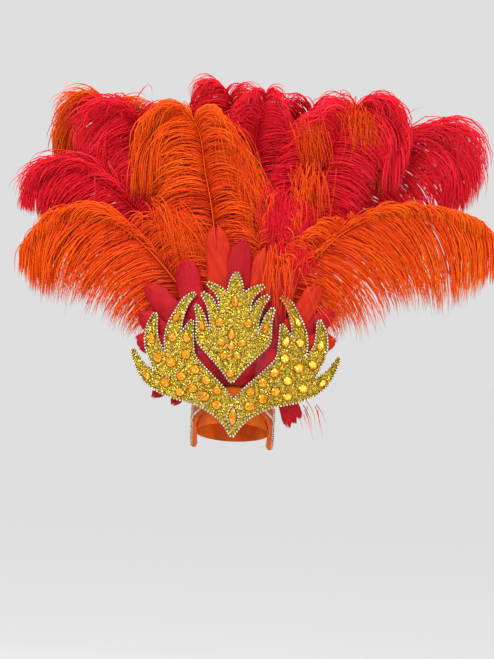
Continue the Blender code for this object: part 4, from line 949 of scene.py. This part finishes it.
def smoothCopy(node, name, material, slot, levels, bevel=0.0):
    bm = bmesh.new()
    bm.from_mesh(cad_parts[node].data)
    bmesh.ops.remove_doubles(bm, verts=bm.verts, dist=cover["merge"])
    bmesh.ops.join_triangles(bm, faces=bm.faces, angle_face_threshold=radians(cover["flatAngle"]),
                             angle_shape_threshold=radians(cover["shapeAngle"]))
    if bevel:
        sharp = [edge for edge in bm.edges if edge.calc_face_angle(0) > radians(cover["sharpAngle"])]
        bmesh.ops.bevel(bm, geom=sharp, offset=bevel, segments=3, profile=0.5, affect="EDGES", material=-1)
    if levels:
        crease = bm.edges.layers.float.new("crease_edge")
        for edge in bm.edges:
            edge[crease] = 1.0 if edge.calc_face_angle(0) > radians(cover["creaseAngle"]) else 0.0
    made = fromBmesh(bm, name, cover["sharpAngle"])
    if levels:
        made.modifiers.new("round", "SUBSURF").levels = levels
        made.modifiers["round"].render_levels = levels
    return place(made, material, slot, node)


smoothCopy("head_cap", "cap_satin", "orangeSatin", "orange_satin", 2)
smoothCopy("ear_guard_left", "guard_satin_left", "orangeSatin", "orange_satin", 2)
smoothCopy("ear_guard_right", "guard_satin_right", "orangeSatin", "orange_satin", 2)
smoothCopy("satin_backing", "backing_satin", "redSatin", "red_satin", 0)
smoothCopy("plume_holder", "holder_felt", "felt", "black_board", 0, 0.006)
# a strip of felt under the holder, so that no light comes through over the front of the cap
pad = {"halfWidth": 0.052, "front": -0.078, "back": -0.050, "low": 0.0275, "high": 0.0340, "bevel": 0.0012}


def makePad():
    bm = bmesh.new()
    bmesh.ops.create_cube(bm, size=1)
    size = (2 * pad["halfWidth"], pad["back"] - pad["front"], pad["high"] - pad["low"])
    bmesh.ops.scale(bm, vec=size, verts=bm.verts)
    bmesh.ops.translate(bm, vec=(0, (pad["front"] + pad["back"]) / 2, (pad["low"] + pad["high"]) / 2),
                        verts=bm.verts)
    bmesh.ops.bevel(bm, geom=bm.edges[:], offset=pad["bevel"], segments=3, profile=0.5, affect="EDGES",
                    material=-1)
    place(fromBmesh(bm, "holder_pad", cover["sharpAngle"]), "felt", "black_board")


makePad()
boards = {"lower_crown_plate": "glitter", "medallion_plate": "glitter", "medallion_post": "felt"}
for node, material in boards.items():
    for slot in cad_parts[node].material_slots:
        slot.material = materials[material]
print("satin and boards made")


# Floor, lights and camera
studio = {"floorZ": -1.10, "floorRadius": 60.0, "floorSides": 96, "floor": (0.93, 0.93, 0.93),
          "floorGlow": 0.04, "world": (0.86, 0.86, 0.86), "worldStrength": 0.72, "exposure": 0.25,
          "lampsAimZ": 0.3}
cameraView = {"centreX": 0.0215, "centreZ": 0.1497, "height": 1.384, "planeY": -0.06, "distance": 5.0,
              "roll": 2.6, "sensor": 24.0}
lamps = (
    # name, place, size, power
    ("key", (-1.3, -2.4, 1.9), 1.2, 42),
    ("fill", (2.0, -2.6, 0.6), 1.6, 16),
    ("top", (0.2, -0.6, 2.4), 1.2, 22),
    ("back", (0.6, 2.6, 1.6), 1.8, 20),
)


def makeStudio():
    bm = bmesh.new()
    bmesh.ops.create_circle(bm, cap_ends=True, radius=studio["floorRadius"], segments=studio["floorSides"])
    bmesh.ops.translate(bm, vec=(0, 0, studio["floorZ"]), verts=bm.verts)
    floor = fromBmesh(bm, "floor")
    made, shader = newMaterial("pale floor", roughness=1.0, Specular_IOR_Level=0.0)
    shader.inputs["Base Color"].default_value = (*studio["floor"], 1)
    shader.inputs["Emission Color"].default_value = (*studio["floor"], 1)
    shader.inputs["Emission Strength"].default_value = studio["floorGlow"]
    floor.data.materials.append(made)
    world = bpy.data.worlds.new("studio")
    world.use_nodes = True
    world.node_tree.nodes["Background"].inputs["Color"].default_value = (*studio["world"], 1)
    world.node_tree.nodes["Background"].inputs["Strength"].default_value = studio["worldStrength"]
    bpy.context.scene.world = world
    for name, spot, size, power in lamps:
        light = bpy.data.lights.new(name, "AREA")
        light.size = size
        light.energy = power
        lamp = bpy.data.objects.new(name, light)
        lamp.location = spot
        aim = Vector((0, 0, studio["lampsAimZ"])) - Vector(spot)
        lamp.rotation_euler = aim.to_track_quat("-Z", "Y").to_euler()
        bpy.context.scene.collection.objects.link(lamp)


def makeCamera():
    data = bpy.data.cameras.new("camera")
    data.sensor_fit = "VERTICAL"
    data.sensor_height = cameraView["sensor"]
    data.lens = cameraView["sensor"] * cameraView["distance"] / cameraView["height"]
    camera = bpy.data.objects.new("camera", data)
    back = cameraView["planeY"] - cameraView["distance"]
    camera.location = (cameraView["centreX"], back, cameraView["centreZ"])
    camera.rotation_euler = (pi / 2, -radians(cameraView["roll"]), 0)
    bpy.context.scene.collection.objects.link(camera)
    bpy.context.scene.camera = camera


makeStudio()
makeCamera()
bpy.context.scene.view_settings.view_transform = "Standard"
bpy.context.scene.view_settings.exposure = studio["exposure"]
print("studio and camera made")
